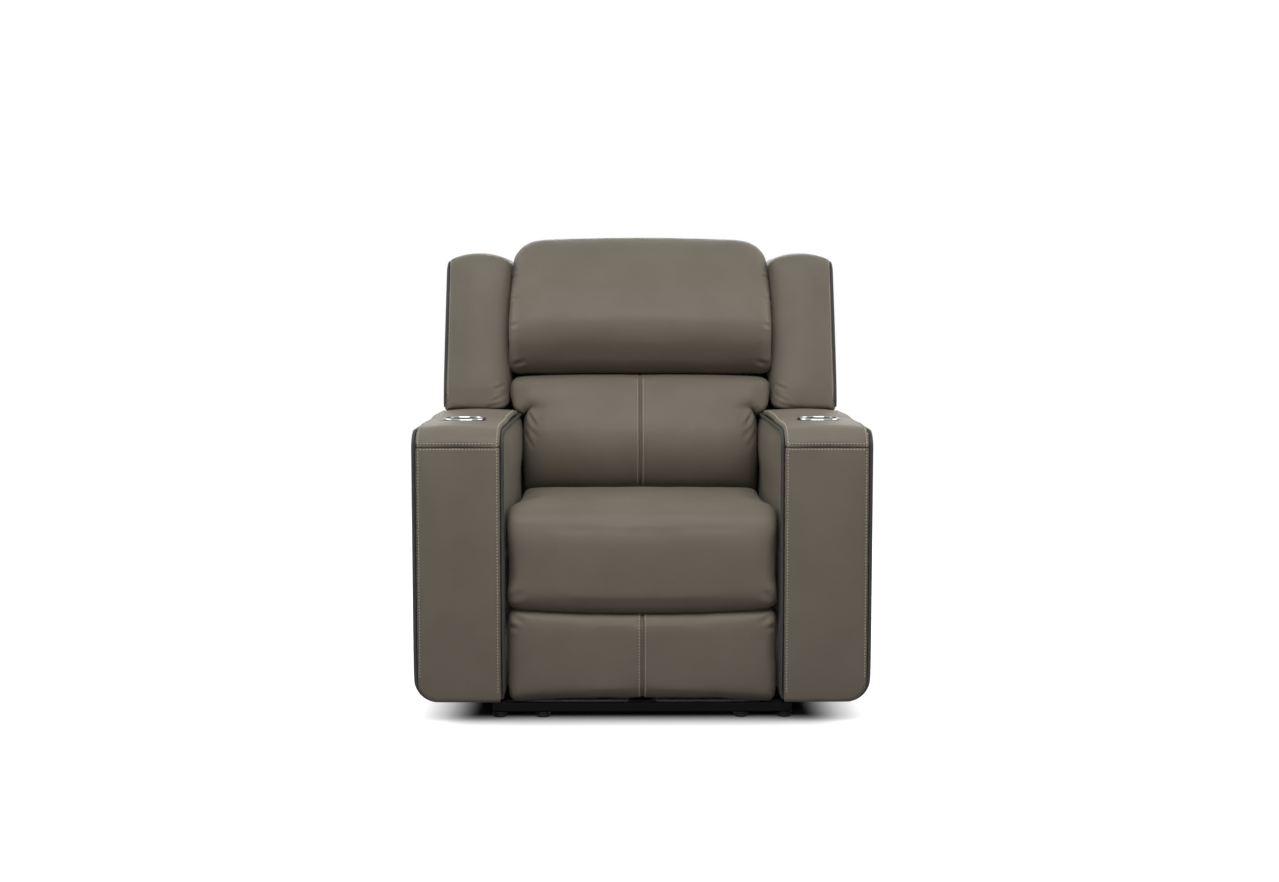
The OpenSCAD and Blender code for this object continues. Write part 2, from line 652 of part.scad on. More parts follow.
module arm_inner_cover() difference() {
    translate([core_in_x - fit, 0, 0]) mirror([1, 0, 0]) rotate([90, 0, 90])
        crowned(side_outline(arm_low_z + fit), cover_t - side_crown, side_crown);
    for (u = spacer_u) disc([u, spacer_z], spacer_d/2 + fit, arm_in - over, cover_t + 3*over);
}
module arm_inner_cover_left() color(leather_dark) mirrored(-1) arm_inner_cover();
module arm_inner_cover_right() color(leather_dark) arm_inner_cover();
module arm_outer_cover() intersection() {
    x = arm_out - pipe_r;
    c = [x - arm_under_r, arm_low_z + arm_under_r];
    r = arm_under_r;
    translate([0, side_rear_y, 0]) rotate([90, 0, 0]) linear_extrude(side_rear_y - side_front_y)
        polygon(concat([for (i = [0:6]) c + r*dir(-90 + 15*i)],
            [[x, side_top_z], [x - cover_t + fit, side_top_z]],
            [for (i = [6:-1:0]) c + (r - cover_t + fit)*dir(-90 + 15*i)]));
    plate_x(c[0] - over, r + 2*over, side_outline(arm_low_z));
}
module arm_outer_cover_left() color(leather) difference() {
    mirrored(-1) arm_outer_cover();
    mirrored(-1) switch_hole(core_out_x - over, arm_out);
}
module arm_outer_cover_right() color(leather) arm_outer_cover();
module arm_piping() {
    y = core_front_y - pipe_off;
    z = core_top_z + pipe_off;
    r = core_bend + pipe_off;
    rr = rear_bend + pipe_off;
    under = arm_under_r - pipe_r;
    along = concat(
        [for (i = [0:6]) [y + r*(1 - cos(15*i)), core_top_z - core_bend + r*sin(15*i)]],
        [for (i = [0:4]) [core_rear_y - rear_bend + rr*sin(22.5*i), core_top_z - rear_bend + rr*cos(22.5*i)]],
        [[core_rear_y + pipe_off, arm_low_z + arm_under_r]]);
    tube_path(concat([[pipe_in_x, y, arm_low_z + pipe_r]], [for (p = along) [pipe_in_x, p[0], p[1]]]),
        pipe_r, 8);
    tube_path(concat([for (i = [0:5]) [pipe_out_x - under + under*sin(18*i), y,
        arm_low_z + pipe_r + under*(1 - cos(18*i))]], [for (p = along) [pipe_out_x, p[0], p[1]]]), pipe_r, 8);
}
module arm_piping_left() color(piping) mirrored(-1) arm_piping();
module arm_piping_right() color(piping) arm_piping();
module cup_holder() {
    r = cup_d/2;
    z = cup_rim_z;
    translate([cup_x, -cup_u, 0]) rotate_extrude() polygon([[0, z - cup_depth - cup_wall],
        [r + cup_wall - cup_rim_h, z - cup_depth - cup_wall], [r + cup_wall, z - cup_depth + cup_rim_h],
        [r + cup_wall, z], [cup_rim_d/2, z], [cup_rim_d/2 - cup_wall/2, z + cup_rim_h*edge_share],
        [cup_rim_d/2 - cup_rim_h, z + cup_rim_h], [r + cup_wall/2, z + cup_rim_h], [r, z + cup_wall],
        [r, z - cup_depth + cup_rim_h], [r - cup_rim_h, z - cup_depth], [0, z - cup_depth]]);
}
module cup_holder_left() color(chrome) mirrored(-1) cup_holder();
module cup_holder_right() color(chrome) cup_holder();

// Switch on the outer side of the left arm
switch_setback = 150;
switch_u = front_reach - switch_setback;
switch_z = 560;
housing_w = 60;
housing_h = 34;
housing_wall = 3;
contact_room = 16.5;
button_step = 30;
button_lip = 1.5;
button_lip_t = 2;
housing_deep = housing_wall + 2*button_lip_t + button_travel + contact_room;
switch_t = 4;
switch_back_x = arm_out - switch_t;
module switch_hole(x0, x1) bar_x([x0, -switch_u - housing_w/2 - fit, switch_z - housing_h/2 - fit],
    [x1, housing_w/2 - switch_u + fit, switch_z + housing_h/2 + fit], rail_r);
module switch_plate() color(plastic) mirrored(-1) difference() {
    x = switch_back_x;
    union() {
        bar_x([x, -switch_u - switch_w/2, switch_z - switch_h/2],
            [x + switch_t, switch_w/2 - switch_u, switch_z + switch_h/2], switch_h/3);
        bar_x([x - housing_deep, -switch_u - housing_w/2, switch_z - housing_h/2],
            [x, housing_w/2 - switch_u, switch_z + housing_h/2], rail_r);
    }
    block([x - housing_deep + housing_wall, housing_wall - switch_u - housing_w/2,
        switch_z - housing_h/2 + housing_wall],
        [x - fit, housing_w/2 - switch_u - housing_wall, switch_z + housing_h/2 - housing_wall]);
    for (s = [-1, 1])
        disc([switch_u + s*button_step/2, switch_z], button_d/2 + fit, x - over, switch_t + 2*over);
}
module button(s) mirrored(-1) {
    p = [switch_u + s*button_step/2, switch_z];
    back = switch_back_x - 2*fit - button_lip_t;
    disc(p, button_d/2, back, switch_t + button_lip_t + 2*fit);
    disc(p, button_d/2 + button_lip, back, button_lip_t);
    disc(p, button_d/4, back - button_lip_t, button_lip_t);
}
module button_open() color(zinc) button(1);
module button_close() color(zinc) button(-1);

// Footrest drive
carriage_w = 22;
carriage_l = 34;
module drive_carriage() color(plastic) {
    y = -crank_pin[0];
    low = track_top + fit;
    high = crank_pin[1] + pin_d;
    slot_w = pin_d + 2*slot_side;
    slot_low = drive_pivot_z - crank_r - pin_d/2 - fit;
    slot_high = crank_pin[1] + pin_d/2 + fit;
    difference() {
        union() {
            bar_y([-carriage_w/2, y - carriage_l/2, low], [carriage_w/2, y + carriage_l/2, high], rail_r);
            block([fit - groove_w/2, y - carriage_l/2, track_top - groove_h + fit],
                [groove_w/2 - fit, y + carriage_l/2, low + over]);
        }
        translate([-carriage_w/2 - over, y, 0]) rotate([90, 0, 90]) linear_extrude(carriage_w + 2*over) {
            translate([-slot_w/2, slot_low + slot_w/2]) square([slot_w, slot_high - slot_low - slot_w]);
            for (z = [slot_low + slot_w/2, slot_high - slot_w/2]) translate([0, z]) circle(d = slot_w);
        }
        translate([0, y + carriage_l/2 + over, screw_z]) rotate([90, 0, 0])
            cylinder(d = screw_d + 2*fit, h = carriage_l + 2*over);
    }
}
crank_t = 6;
crank_x = carriage_w/2 + 2*fit;
crank_boss = 8;
module drive_tube() color(black_steel) {
    disc(drive_pivot, drive_tube_d/2, -outer_layer_x, 2*outer_layer_x);
    both_sides() {
        arm_between(drive_pivot, crank_pin, 2*crank_boss, crank_x, crank_t);
        disc(crank_pin, crank_boss, crank_x, crank_t);
        disc(crank_pin, pin_d/2, 0, crank_x + crank_t);
    }
}
bore_r = rivet_d/2 + rivet_gap;
pin_in = inner_layer_x - fit - head_t;
pin_out = outer_layer_x + link_t;
module drive_links() color(black_steel) both_sides() difference() {
    union() {
        arm_between(drive_pivot, carrier_pin, link_w, outer_layer_x, link_t);
        arm_between(carrier_pin, tie_pin, link_w, outer_layer_x, link_t);
        disc(drive_pivot, boss_r, outer_layer_x, link_t);
        for (p = [carrier_pin, tie_pin]) {
            disc(p, boss_r, outer_layer_x, link_t);
            disc(p, rivet_d/2, pin_in, pin_out - pin_in);
            disc(p, head_r, pin_in, head_t);
            disc(p, head_r, inner_layer_x + link_t + fit, layer_gap);
            disc(p, head_r, pin_out, head_t - fit);
        }
    }
    disc(drive_pivot, bore_r, outer_layer_x + fit, link_t);
}
module guide_links() color(black_steel) both_sides() difference() {
    union() {
        arm_between(guide_pivot, guide_pin, link_w, outer_layer_x, link_t);
        disc(guide_pivot, boss_r, outer_layer_x, link_t);
        disc(guide_pin, boss_r, outer_layer_x, link_t);
        disc(guide_pin, rivet_d/2, pin_in, pin_out - pin_in);
        disc(guide_pin, head_r, pin_in, head_t);
        disc(guide_pin, head_r, inner_layer_x + link_t + fit, layer_gap);
    }
    disc(guide_pivot, bore_r, outer_layer_x - over, link_t + 2*over);
}
module carrier_links() color(black_steel) both_sides() difference() {
    union() {
        for (p = [guide_pin, bracket_pin]) arm_between(p, carrier_pin, link_w, inner_layer_x, link_t);
        for (p = [guide_pin, carrier_pin, bracket_pin]) disc(p, boss_r, inner_layer_x, link_t);
        disc(bracket_pin, rivet_d/2, inner_layer_x, pin_out - inner_layer_x + head_t - fit);
        disc(bracket_pin, head_r, inner_layer_x + link_t, layer_gap - fit);
        disc(bracket_pin, head_r, pin_out + fit, head_t - 2*fit);
    }
    for (p = [guide_pin, carrier_pin]) disc(p, bore_r, inner_layer_x - over, link_t + 2*over);
}
module tie_links() color(black_steel) both_sides() difference() {
    union() {
        arm_between(tie_pin, bracket_tie_pin, link_w, inner_layer_x, link_t);
        for (p = [tie_pin, bracket_tie_pin]) disc(p, boss_r, inner_layer_x, link_t);
        disc(bracket_tie_pin, rivet_d/2, inner_layer_x, pin_out - inner_layer_x + head_t - fit);
        disc(bracket_tie_pin, head_r, inner_layer_x + link_t, layer_gap - fit);
        disc(bracket_tie_pin, head_r, pin_out + fit, head_t - 2*fit);
    }
    disc(tie_pin, bore_r, inner_layer_x - over, link_t + 2*over);
}

// Footrest
flange_t = 3;
flange_w = 34;
flange_share = [0.5, 0.96];
module footrest_brackets() color(black_steel) both_sides() difference() {
    span = panel_top_z - panel_low_z;
    low = panel_low_z + span*flange_share[0];
    high = panel_low_z + span*flange_share[1];
    back = panel_back_u;
    union() {
        for (p = [bracket_pin, bracket_tie_pin]) disc(p, boss_r, outer_layer_x, link_t);
        plate_x(outer_layer_x, link_t, [for (c = [bracket_pin + boss_r*dir(60), bracket_pin + boss_r*dir(145),
            bracket_tie_pin + boss_r*dir(145), bracket_tie_pin + boss_r*dir(235), [back, low], [back, high]])
            [-c[0], c[1]]]);
        block([outer_layer_x + link_t - flange_w, -back, low],
            [outer_layer_x + link_t, flange_t - back, high]);
    }
    for (p = [bracket_pin, bracket_tie_pin]) disc(p, bore_r, outer_layer_x - over, link_t + 2*over);
}
module footrest_board() color(plywood) bar_y([board_inset - panel_half, -panel_back_u - board_t,
    panel_low_z + board_inset/2],
    [panel_half - board_inset, -panel_back_u, panel_top_z - board_inset/2], rail_r);
panel_crown = 9;
panel_edge = 16;
panel_front_r = 24;
panel_seam = 4;
module footrest_cushion() color(leather) {
    front = -panel_back_u - board_t - fit - panel_pad_t + panel_crown;
    back = -panel_back_u - board_t - fit;
    padded([[front, panel_low_z], [back, panel_low_z], [back, panel_top_z], [front, panel_top_z]],
        [panel_front_r, 2*rail_r, 2*rail_r, panel_front_r],
        -panel_half, panel_half, panel_edge, panel_crown, 180, seam = panel_seam);
}

// Recline drive
cheek_t = 5;
lug_t = 6;
yoke_back = 14;
module recline_rod() color(zinc) {
    cheek_in = lug_t/2 + fit;
    front = lug_pin_y - yoke_back;
    z = lug_mid_z;
    rise = lug_r*(1 - cos(recline_travel/2))/2;
    slot_w = pin_d + 2*slot_side/2;
    difference() {
        union() {
            for (s = [-1, 1]) block([lug_x + (s > 0 ? cheek_in : -cheek_in - cheek_t), front, z - rod_d],
                [lug_x + (s > 0 ? cheek_in + cheek_t : -cheek_in), lug_pin_y + rod_d, z + rod_d]);
            block([lug_x - cheek_in - cheek_t, front - cheek_t, z - rod_d],
                [lug_x + cheek_in + cheek_t, front, z + rod_d]);
        }
        translate([lug_x - rod_d - over, lug_pin_y, z]) rotate([90, 0, 90]) linear_extrude(2*rod_d + 2*over) {
            for (s = [-1, 1]) translate([0, s*(rise + fit)]) circle(d = slot_w);
            translate([-slot_w/2, -rise - fit]) square([slot_w, 2*rise + 2*fit]);
        }
    }
    translate([lug_x, front - cheek_t, z]) rotate([90, 0, 0])
        cylinder(d = rod_d, h = front - cheek_t - tube_end_y + tube_bore_l - rod_stroke - fit);
}
module recline_lug() color(black_steel) {
    half = back_rail_t/2;
    foot_up = (lower_rail_z - lumbar_low_z - back_rail_h/2)/cos(back_lean);
    plate_x(lug_x - lug_t/2, lug_t, [leaned_at(0, foot_up), leaned_at(back_rail_t, foot_up),
        [lug_pin_y + half, lug_pin_z], [lug_pin_y - half, lug_pin_z]]);
    disc([-lug_pin_y, lug_pin_z], half, lug_x - lug_t/2, lug_t);
    disc([-lug_pin_y, lug_pin_z], pin_d/2, lug_x - lug_t/2 - cheek_t - fit, lug_t + 2*cheek_t + 2*fit);
}

// Back frame, in a leaning frame: depth behind the front of the rails, and height up the lean
function leaned_at(deep, up) = [frame_y + deep*cos(back_lean) + up*sin(back_lean),
    lumbar_low_z - deep*sin(back_lean) + up*cos(back_lean)];
function up_to(z) = (z - lumbar_low_z)/cos(back_lean);
module leaned() translate([0, frame_y, lumbar_low_z]) rotate([-back_lean, 0, 0]) children();
module back_rail(z, half) color(black_steel) leaned() bar_x([-half, 0, up_to(z) - back_rail_h/2],
    [half, back_rail_t, up_to(z) + back_rail_h/2], rail_r);
lower_rail_half = bracket_x - fit;
outer_rail_half = back_half - side_cover_t - fit;
module back_lower_rail() back_rail(lower_rail_z, lower_rail_half);
module back_mid_rail() back_rail(mid_rail_z, outer_rail_half);
module back_top_rail() back_rail(top_rail_z, outer_rail_half);
module back_upright() {
    p = [recline_y, recline_z];
    leaned() bar_z([upright_x, back_rail_t, 0], [upright_x + upright_w, back_rail_t + upright_t,
        up_to(top_rail_z) + back_rail_h/2], rail_r);
    difference() {
        union() {
            disc([-p[0], p[1]], pivot_boss_r, bracket_x, bracket_t);
            plate_x(bracket_x, bracket_t, [p + pivot_boss_r*dir(160), p + pivot_boss_r*dir(-60),
                leaned_at(back_rail_t + upright_t, 0), leaned_at(back_rail_t + upright_t, 5*upright_t),
                leaned_at(back_rail_t, 5*upright_t), leaned_at(back_rail_t/2, 0)]);
        }
        disc([-p[0], p[1]], recline_pin_d/2 + rivet_gap, bracket_x - over, bracket_t + 2*over);
    }
}
module back_upright_left() color(black_steel) mirrored(-1) back_upright();
module back_upright_right() color(black_steel) back_upright();
web_count = 4;
module back_webbing() color(plastic) leaned() for (k = [0:web_count - 1]) {
    x = (k - (web_count - 1)/2)*2*lower_rail_half/web_count;
    block([x - web_w/2, -web_t, up_to(lower_rail_z) - back_rail_h/2],
        [x + web_w/2, 0, up_to(mid_rail_z) + back_rail_h/2]);
}

// Back cushions
lumbar_front_low_y = 82;
lumbar_belly_y = 66;
lumbar_belly_z = 574;
lumbar_belly_r = 210;
lumbar_top_y = 137;
lumbar_crown = 12;
lumbar_edge = 18;
lumbar_seam = 5;
flare_low_z = 658;
flare_top_z = 684;
lumbar_wide_w = 656;
module lumbar_cushion() {
    gap = web_t + fit;
    top = crease_z - fit;
    foot = leaned_at(-gap, up_to(lumbar_low_z));
    function back_at(z) = [foot[0] + (z - foot[1])*tan(back_lean), z];
    function front_at(z) = [lumbar_belly_y + (lumbar_top_y - lumbar_belly_y)*
        (z - lumbar_belly_z)/(crease_z - lumbar_belly_z), z];
    color(leather) padded([
        [lumbar_front_low_y, lumbar_low_z], back_at(lumbar_low_z), back_at(flare_low_z), back_at(flare_top_z),
        back_at(top), front_at(top), front_at(flare_top_z), front_at(flare_low_z),
        front_at(lumbar_belly_z)],
        [2*rail_r, rail_r, 0, 0, rail_r, lumbar_edge, 0, 0, lumbar_belly_r],
        -lumbar_low_w/2, lumbar_low_w/2, lumbar_edge, lumbar_crown, 180, seam = lumbar_seam,
        flare = [flare_low_z, flare_top_z, lumbar_wide_w/lumbar_low_w - 1],
        hub = (front_at(flare_low_z) + back_at(flare_low_z))/2);
}
hood_back = 5;
head_edge = 30;
head_crown = 14;
head_corner_w = 86;
head_corner_h = 44;
head_roll_r = 46;
head_tuck_share = 0.8;
head_belly_share = 0.3;
head_belly_r_share = 0.3;
head_front_share = [0.28, 0.62];
head_back_share = 0.18;
head_crest_y = 292;
head_crest_r = 70;
function plane_at(z) = frame_y - fit + (z - lumbar_low_z)*tan(back_lean);
module head_cushion() color(leather) {
    low = crease_z + fit;
    front_y = lumbar_top_y - head_overhang + head_crown/2;
    rise = total_h - low - head_crown;
    back = rear_at(hood_z) - hood_back;
    crest = [head_crest_y - head_crest_r/2, total_h - head_crown/2];
    padded([[front_y + head_overhang*head_tuck_share, low], [plane_at(low), low],
        [plane_at(hood_z), hood_z], [back, hood_z], [back, hood_z + rise*head_back_share],
        [head_crest_y + head_crest_r, total_h - head_crown/2], crest,
        [front_y + (head_crest_y - front_y)*head_front_share[0], low + rise*head_front_share[1]],
        [front_y, low + rise*head_belly_share]],
        [head_roll_r, 2*rail_r, rail_r, rail_r, 3*rail_r, head_crest_r, head_crest_r, head_crest_r,
            rise*head_belly_r_share],
        -head_w/2, head_w/2, head_edge, head_crown, 140, head_corner_w, head_corner_h, hood_z,
        hub = ([plane_at(hood_z), hood_z] + crest)/2);
}
wing_front_low_y = 106;
wing_front_lean = 15.9;
wing_edge = 18;
wing_crown = 10;
wing_top_r = 34;
wing_out_x = back_half;
module wing_cushion() {
    low = wing_low_z;
    back = rear_at(hood_z) - hood_back;
    function front_at(z) = wing_front_low_y + (z - low)*tan(wing_front_lean);
    padded([[front_at(low), low], [plane_at(low), low], [plane_at(hood_z), hood_z], [back, hood_z],
        [back, wing_top_z - wing_edge], [back - wing_top_r, wing_top_z], [front_at(wing_top_z), wing_top_z]],
        [3*rail_r, 2*rail_r, rail_r, rail_r, rail_r, rail_r, wing_top_r],
        wing_in_x, wing_out_x, wing_edge, wing_crown, 165,
        hub = ([plane_at(hood_z), hood_z] + [front_at(wing_top_z), wing_top_z])/2);
}
module wing_cushion_left() color(leather) mirrored(-1) wing_cushion();
module wing_cushion_right() color(leather) wing_cushion();
pipe_seat = 1;
module wing_piping() {
    nest = wing_edge - (wing_edge + pipe_r + pipe_seat)*cos(45);
    x = wing_out_x - nest;
    back = rear_at(hood_z) - hood_back;
    bend = wing_top_r;
    function front_at(z) = wing_front_low_y + (z - wing_low_z)*tan(wing_front_lean) + nest;
    c = [front_at(wing_top_z - bend) + (bend - nest)/cos(wing_front_lean), wing_top_z - bend];
    color(piping) both_sides() tube_path(concat(
        [[x, front_at(wing_low_z + wing_edge), wing_low_z + wing_edge]],
        [for (i = [0:5]) let(a = 180 - wing_front_lean*(1 - i/5) - 18*i)
            [x, c[0] + (bend - nest)*cos(a), c[1] + (bend - nest)*sin(a)]],
        [[x, back - bend, wing_top_z - nest]]), pipe_r, 8);
}
module back_side_cover() plate_x(back_half - side_cover_t, side_cover_t, rounded([
    [arm_rear_y + side_back_gap, rear_low_z], [rear_at(rear_low_z) - rear_cover_t - fit, rear_low_z],
    [rear_at(hood_z) - rear_cover_t - fit, hood_z - fit], [plane_at(hood_z) + 2*fit, hood_z - fit],
    [plane_at(wing_low_z) + 2*fit, wing_low_z], [arm_rear_y + side_back_gap, wing_low_z]],
    [3*rail_r, rail_r, 0, 0, rail_r, rail_r], 4));
side_back_gap = 6;
rear_low_z = 375;
module back_side_cover_left() color(leather_dark) mirrored(-1) back_side_cover();
module back_side_cover_right() color(leather_dark) back_side_cover();
module back_rear_cover() color(leather_dark) padded([
    [rear_at(rear_low_z) - rear_cover_t, rear_low_z], [rear_at(rear_low_z), rear_low_z],
    [rear_at(hood_z), hood_z - rear_crown/2], [rear_at(hood_z) - rear_cover_t, hood_z - rear_crown/2]],
    [rail_r, 2*rail_r, 2*rail_r, rail_r], -back_half, back_half, rail_r, rear_crown, 0, n = 3);

// Cloth panel below the outside back, between the arms
skirt_low_z = 262;
skirt_half = 278;
skirt_t = 4;
module back_skirt() color(plastic) plate_x(-skirt_half, 2*skirt_half, [
    [rear_at(skirt_low_z) - rear_cover_t, skirt_low_z],
    [rear_at(skirt_low_z) - rear_cover_t + skirt_t, skirt_low_z],
    [rear_at(rear_low_z) - rear_cover_t + skirt_t, rear_low_z - fit],
    [rear_at(rear_low_z) - rear_cover_t, rear_low_z - fit]]);

base_frame();
glide_feet();
drive_bracket();
mech_plate_left();
mech_plate_right();
pivot_pins();
arm_spacers();
drive_cross_bar();
drive_track();
drive_motor();
recline_motor();
seat_front_rail();
seat_rear_rail();
seat_front_board();
seat_springs();
seat_cushion();
arm_frame_left();
arm_frame_right();
arm_top_cover_left();
arm_top_cover_right();
arm_front_cover_left();
arm_front_cover_right();
arm_outer_cover_left();
arm_outer_cover_right();
arm_inner_cover_left();
arm_inner_cover_right();
arm_piping_left();
arm_piping_right();
cup_holder_left();
cup_holder_right();
switch_plate();
button_open();
button_close();
drive_carriage();
recline_rod();
drive_links();
drive_tube();
guide_links();
carrier_links();
tie_links();
footrest_brackets();
footrest_board();
footrest_cushion();
back_upright_left();
back_upright_right();
back_lower_rail();
back_mid_rail();
back_top_rail();
back_webbing();
recline_lug();
lumbar_cushion();
head_cushion();
wing_cushion_left();
wing_cushion_right();
wing_piping();
back_side_cover_left();
back_side_cover_right();
back_rear_cover();
back_skirt();
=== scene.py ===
# %% [markdown]
# A single cinema recliner: two padded arms with cup holders, a back made of a lumbar cushion, a
# head roll and two side wings, a seat with a rolled front, and a powered footrest below it.
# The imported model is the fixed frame. It gives every place and size in metres, with +X to the
# viewer's right, -Y towards the viewer, +Z up, and the floor at zero.

# %% Load the frame
import json
import math

import bmesh
import bpy
import numpy as np
from mathutils import Matrix, Vector
from mathutils.bvhtree import BVHTree


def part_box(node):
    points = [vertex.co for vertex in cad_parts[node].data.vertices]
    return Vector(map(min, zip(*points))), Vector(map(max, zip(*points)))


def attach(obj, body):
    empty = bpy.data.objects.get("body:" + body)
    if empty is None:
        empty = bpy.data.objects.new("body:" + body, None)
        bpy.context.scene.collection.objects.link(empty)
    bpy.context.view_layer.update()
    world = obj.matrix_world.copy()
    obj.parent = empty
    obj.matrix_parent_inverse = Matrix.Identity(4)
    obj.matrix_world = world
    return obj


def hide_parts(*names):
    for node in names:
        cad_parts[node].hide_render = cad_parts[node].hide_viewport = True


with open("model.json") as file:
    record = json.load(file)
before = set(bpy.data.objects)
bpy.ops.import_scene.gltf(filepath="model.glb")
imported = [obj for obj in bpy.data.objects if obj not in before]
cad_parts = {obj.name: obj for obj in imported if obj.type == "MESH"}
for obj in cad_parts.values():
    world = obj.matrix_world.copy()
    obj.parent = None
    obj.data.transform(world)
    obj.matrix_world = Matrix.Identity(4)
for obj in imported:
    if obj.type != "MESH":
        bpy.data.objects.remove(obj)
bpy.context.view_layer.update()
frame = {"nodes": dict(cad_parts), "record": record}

nodes = frame["nodes"]

# %% [markdown]
# The camera stands where the photograph was taken: a little over chest height of someone seated,
# three and a half metres in front of the arms, looking slightly down. Its focal length is given in
# pixels of the photograph, so that the framing is the photograph's.

# %% Camera
PHOTO_W = 1279
FOCAL_PX = 1629
SENSOR_MM = 36
CAMERA_PLACE = (-0.0315, -3.98, 0.88)
PITCH_DOWN = 4.27
TURN_RIGHT = 0.41

camera_data = bpy.data.cameras.new("photo_camera")
camera_data.sensor_width = SENSOR_MM
camera_data.lens = SENSOR_MM * FOCAL_PX / PHOTO_W
camera = bpy.data.objects.new("photo_camera", camera_data)
camera.location = CAMERA_PLACE
camera.rotation_euler = (math.radians(90 - PITCH_DOWN), 0, math.radians(-TURN_RIGHT))
bpy.context.scene.collection.objects.link(camera)
bpy.context.scene.camera = camera
bpy.context.scene.view_settings.view_transform = "Standard"
print("camera lens", round(camera_data.lens, 2), "mm")

# %% [markdown]
# Materials are small node graphs. These helpers add a node, join two sockets, and build the ramps
# and bumps that most finishes share. A value that is the same all over a surface is set on the
# shader's own socket, so that it survives the export.


# %% Node helpers
def new_material(name):
    """An empty node material and its shader."""
    material = bpy.data.materials.new(name)
    material.use_nodes = True
    tree = material.node_tree
    return material, tree, tree.nodes["Principled BSDF"]


def node(tree, kind, inputs=None, **settings):
    """One node, with its settings and the values of its inputs."""
    made = tree.nodes.new(kind)
    for key, value in settings.items():
        setattr(made, key, value)
    for key, value in (inputs or {}).items():
        made.inputs[key].default_value = value
    return made


def rgba(colour):
    return (*colour, 1.0)


def noise(tree, place, scale, detail=3.0, roughness=0.5):
    made = node(tree, "ShaderNodeTexNoise", {"Scale": scale, "Detail": detail, "Roughness": roughness})
    tree.links.new(place, made.inputs["Vector"])
    return made.outputs["Fac"]


def ramp(tree, factor, low, high, dark, light):
    """A colour that goes from dark at low to light at high."""
    made = node(tree, "ShaderNodeValToRGB")
    first, last = made.color_ramp.elements
    first.position, first.color = low, rgba(dark)
    last.position, last.color = high, rgba(light)
    tree.links.new(factor, made.inputs["Fac"])
    return made.outputs["Color"]


def spread(tree, factor, low, high):
    """A factor from 0 to 1, mapped to the range from low to high."""
    made = node(tree, "ShaderNodeMapRange", {"To Min": low, "To Max": high})
    tree.links.new(factor, made.inputs["Value"])
    return made.outputs["Result"]


def bump(tree, height, depth, strength=1.0, under=None):
    """A bump of the given depth in metres, over another bump if there is one."""
    made = node(tree, "ShaderNodeBump", {"Distance": depth, "Strength": strength})
    tree.links.new(height, made.inputs["Height"])
    if under:
        tree.links.new(under, made.inputs["Normal"])
    return made.outputs["Normal"]


def seen_directly(tree):
    """1 for rays from the camera, off a mirror or through glass, and 0 for light that bounces."""
    path = node(tree, "ShaderNodeLightPath")
    seen = path.outputs["Is Camera Ray"]
    for other in ("Is Glossy Ray", "Is Transmission Ray"):
        either = node(tree, "ShaderNodeMath", operation="MAXIMUM")
        tree.links.new(seen, either.inputs[0])
        tree.links.new(path.outputs[other], either.inputs[1])
        seen = either.outputs["Value"]
    return seen


def object_place(tree, stretch=(1, 1, 1)):
    """Object coordinates in metres, stretched to turn round grain into streaks."""
    place = node(tree, "ShaderNodeTexCoord").outputs["Object"]
    mapping = node(tree, "ShaderNodeMapping", {"Scale": stretch})
    tree.links.new(place, mapping.inputs["Vector"])
    return mapping.outputs["Vector"]


# %% [markdown]
# Corrected-grain leather is nearly even in colour. What shows is a fine pebble grain, a slightly
# cloudy tone where the hide was finished, and a soft satin gloss that varies with the grain. The
# pebbles come from cell edges about a millimetre apart, and a slower noise gives the faint unevenness
# of the foam and batting under the hide.


# %% Leather
PEBBLE_SCALE = 620.0
GRAIN_DEPTH = 0.00022
BATTING_DEPTH = 0.0022
TAUPE_DARK, TAUPE_LIGHT = (0.172, 0.148, 0.115), (0.194, 0.168, 0.132)
CHARCOAL_DARK, CHARCOAL_LIGHT = (0.042, 0.041, 0.038), (0.055, 0.053, 0.049)


def leather_material(name, dark, light, gloss=(0.44, 0.56)):
    material, tree, shader = new_material(name)
    place = object_place(tree)
    cloud = noise(tree, place, 9.0, 4.0)
    tree.links.new(ramp(tree, cloud, 0.3, 0.7, dark, light), shader.inputs["Base Color"])
    pebbles = node(tree, "ShaderNodeTexVoronoi", {"Scale": PEBBLE_SCALE}, feature="DISTANCE_TO_EDGE")
    tree.links.new(place, pebbles.inputs["Vector"])
    grain = bump(tree, pebbles.outputs["Distance"], GRAIN_DEPTH, 0.55)
    batting = bump(tree, noise(tree, place, 22.0, 2.0), BATTING_DEPTH, 0.35, under=grain)
    tree.links.new(batting, shader.inputs["Normal"])
    tree.links.new(spread(tree, noise(tree, place, 140.0, 2.0), *gloss), shader.inputs["Roughness"])
    shader.inputs["Specular IOR Level"].default_value = 0.2
    shader.inputs["Sheen Weight"].default_value = 0.04
    shader.inputs["Sheen Roughness"].default_value = 0.5
    return material


leather = leather_material("taupe_leather", TAUPE_DARK, TAUPE_LIGHT)
side_leather = leather_material("taupe_leather_side", TAUPE_DARK, TAUPE_LIGHT, (0.48, 0.6))
piping_leather = leather_material("charcoal_piping", CHARCOAL_DARK, CHARCOAL_LIGHT)
print("leathers:", leather.name, side_leather.name, piping_leather.name)

# %% [markdown]
# The topstitching is a bonded thread a few tones lighter than the hide. The strands of the thread
# show as fine slanting ridges, which a wave texture gives along each stitch.


# %% Thread
THREAD_DARK, THREAD_LIGHT = (0.44, 0.39, 0.31), (0.60, 0.55, 0.46)


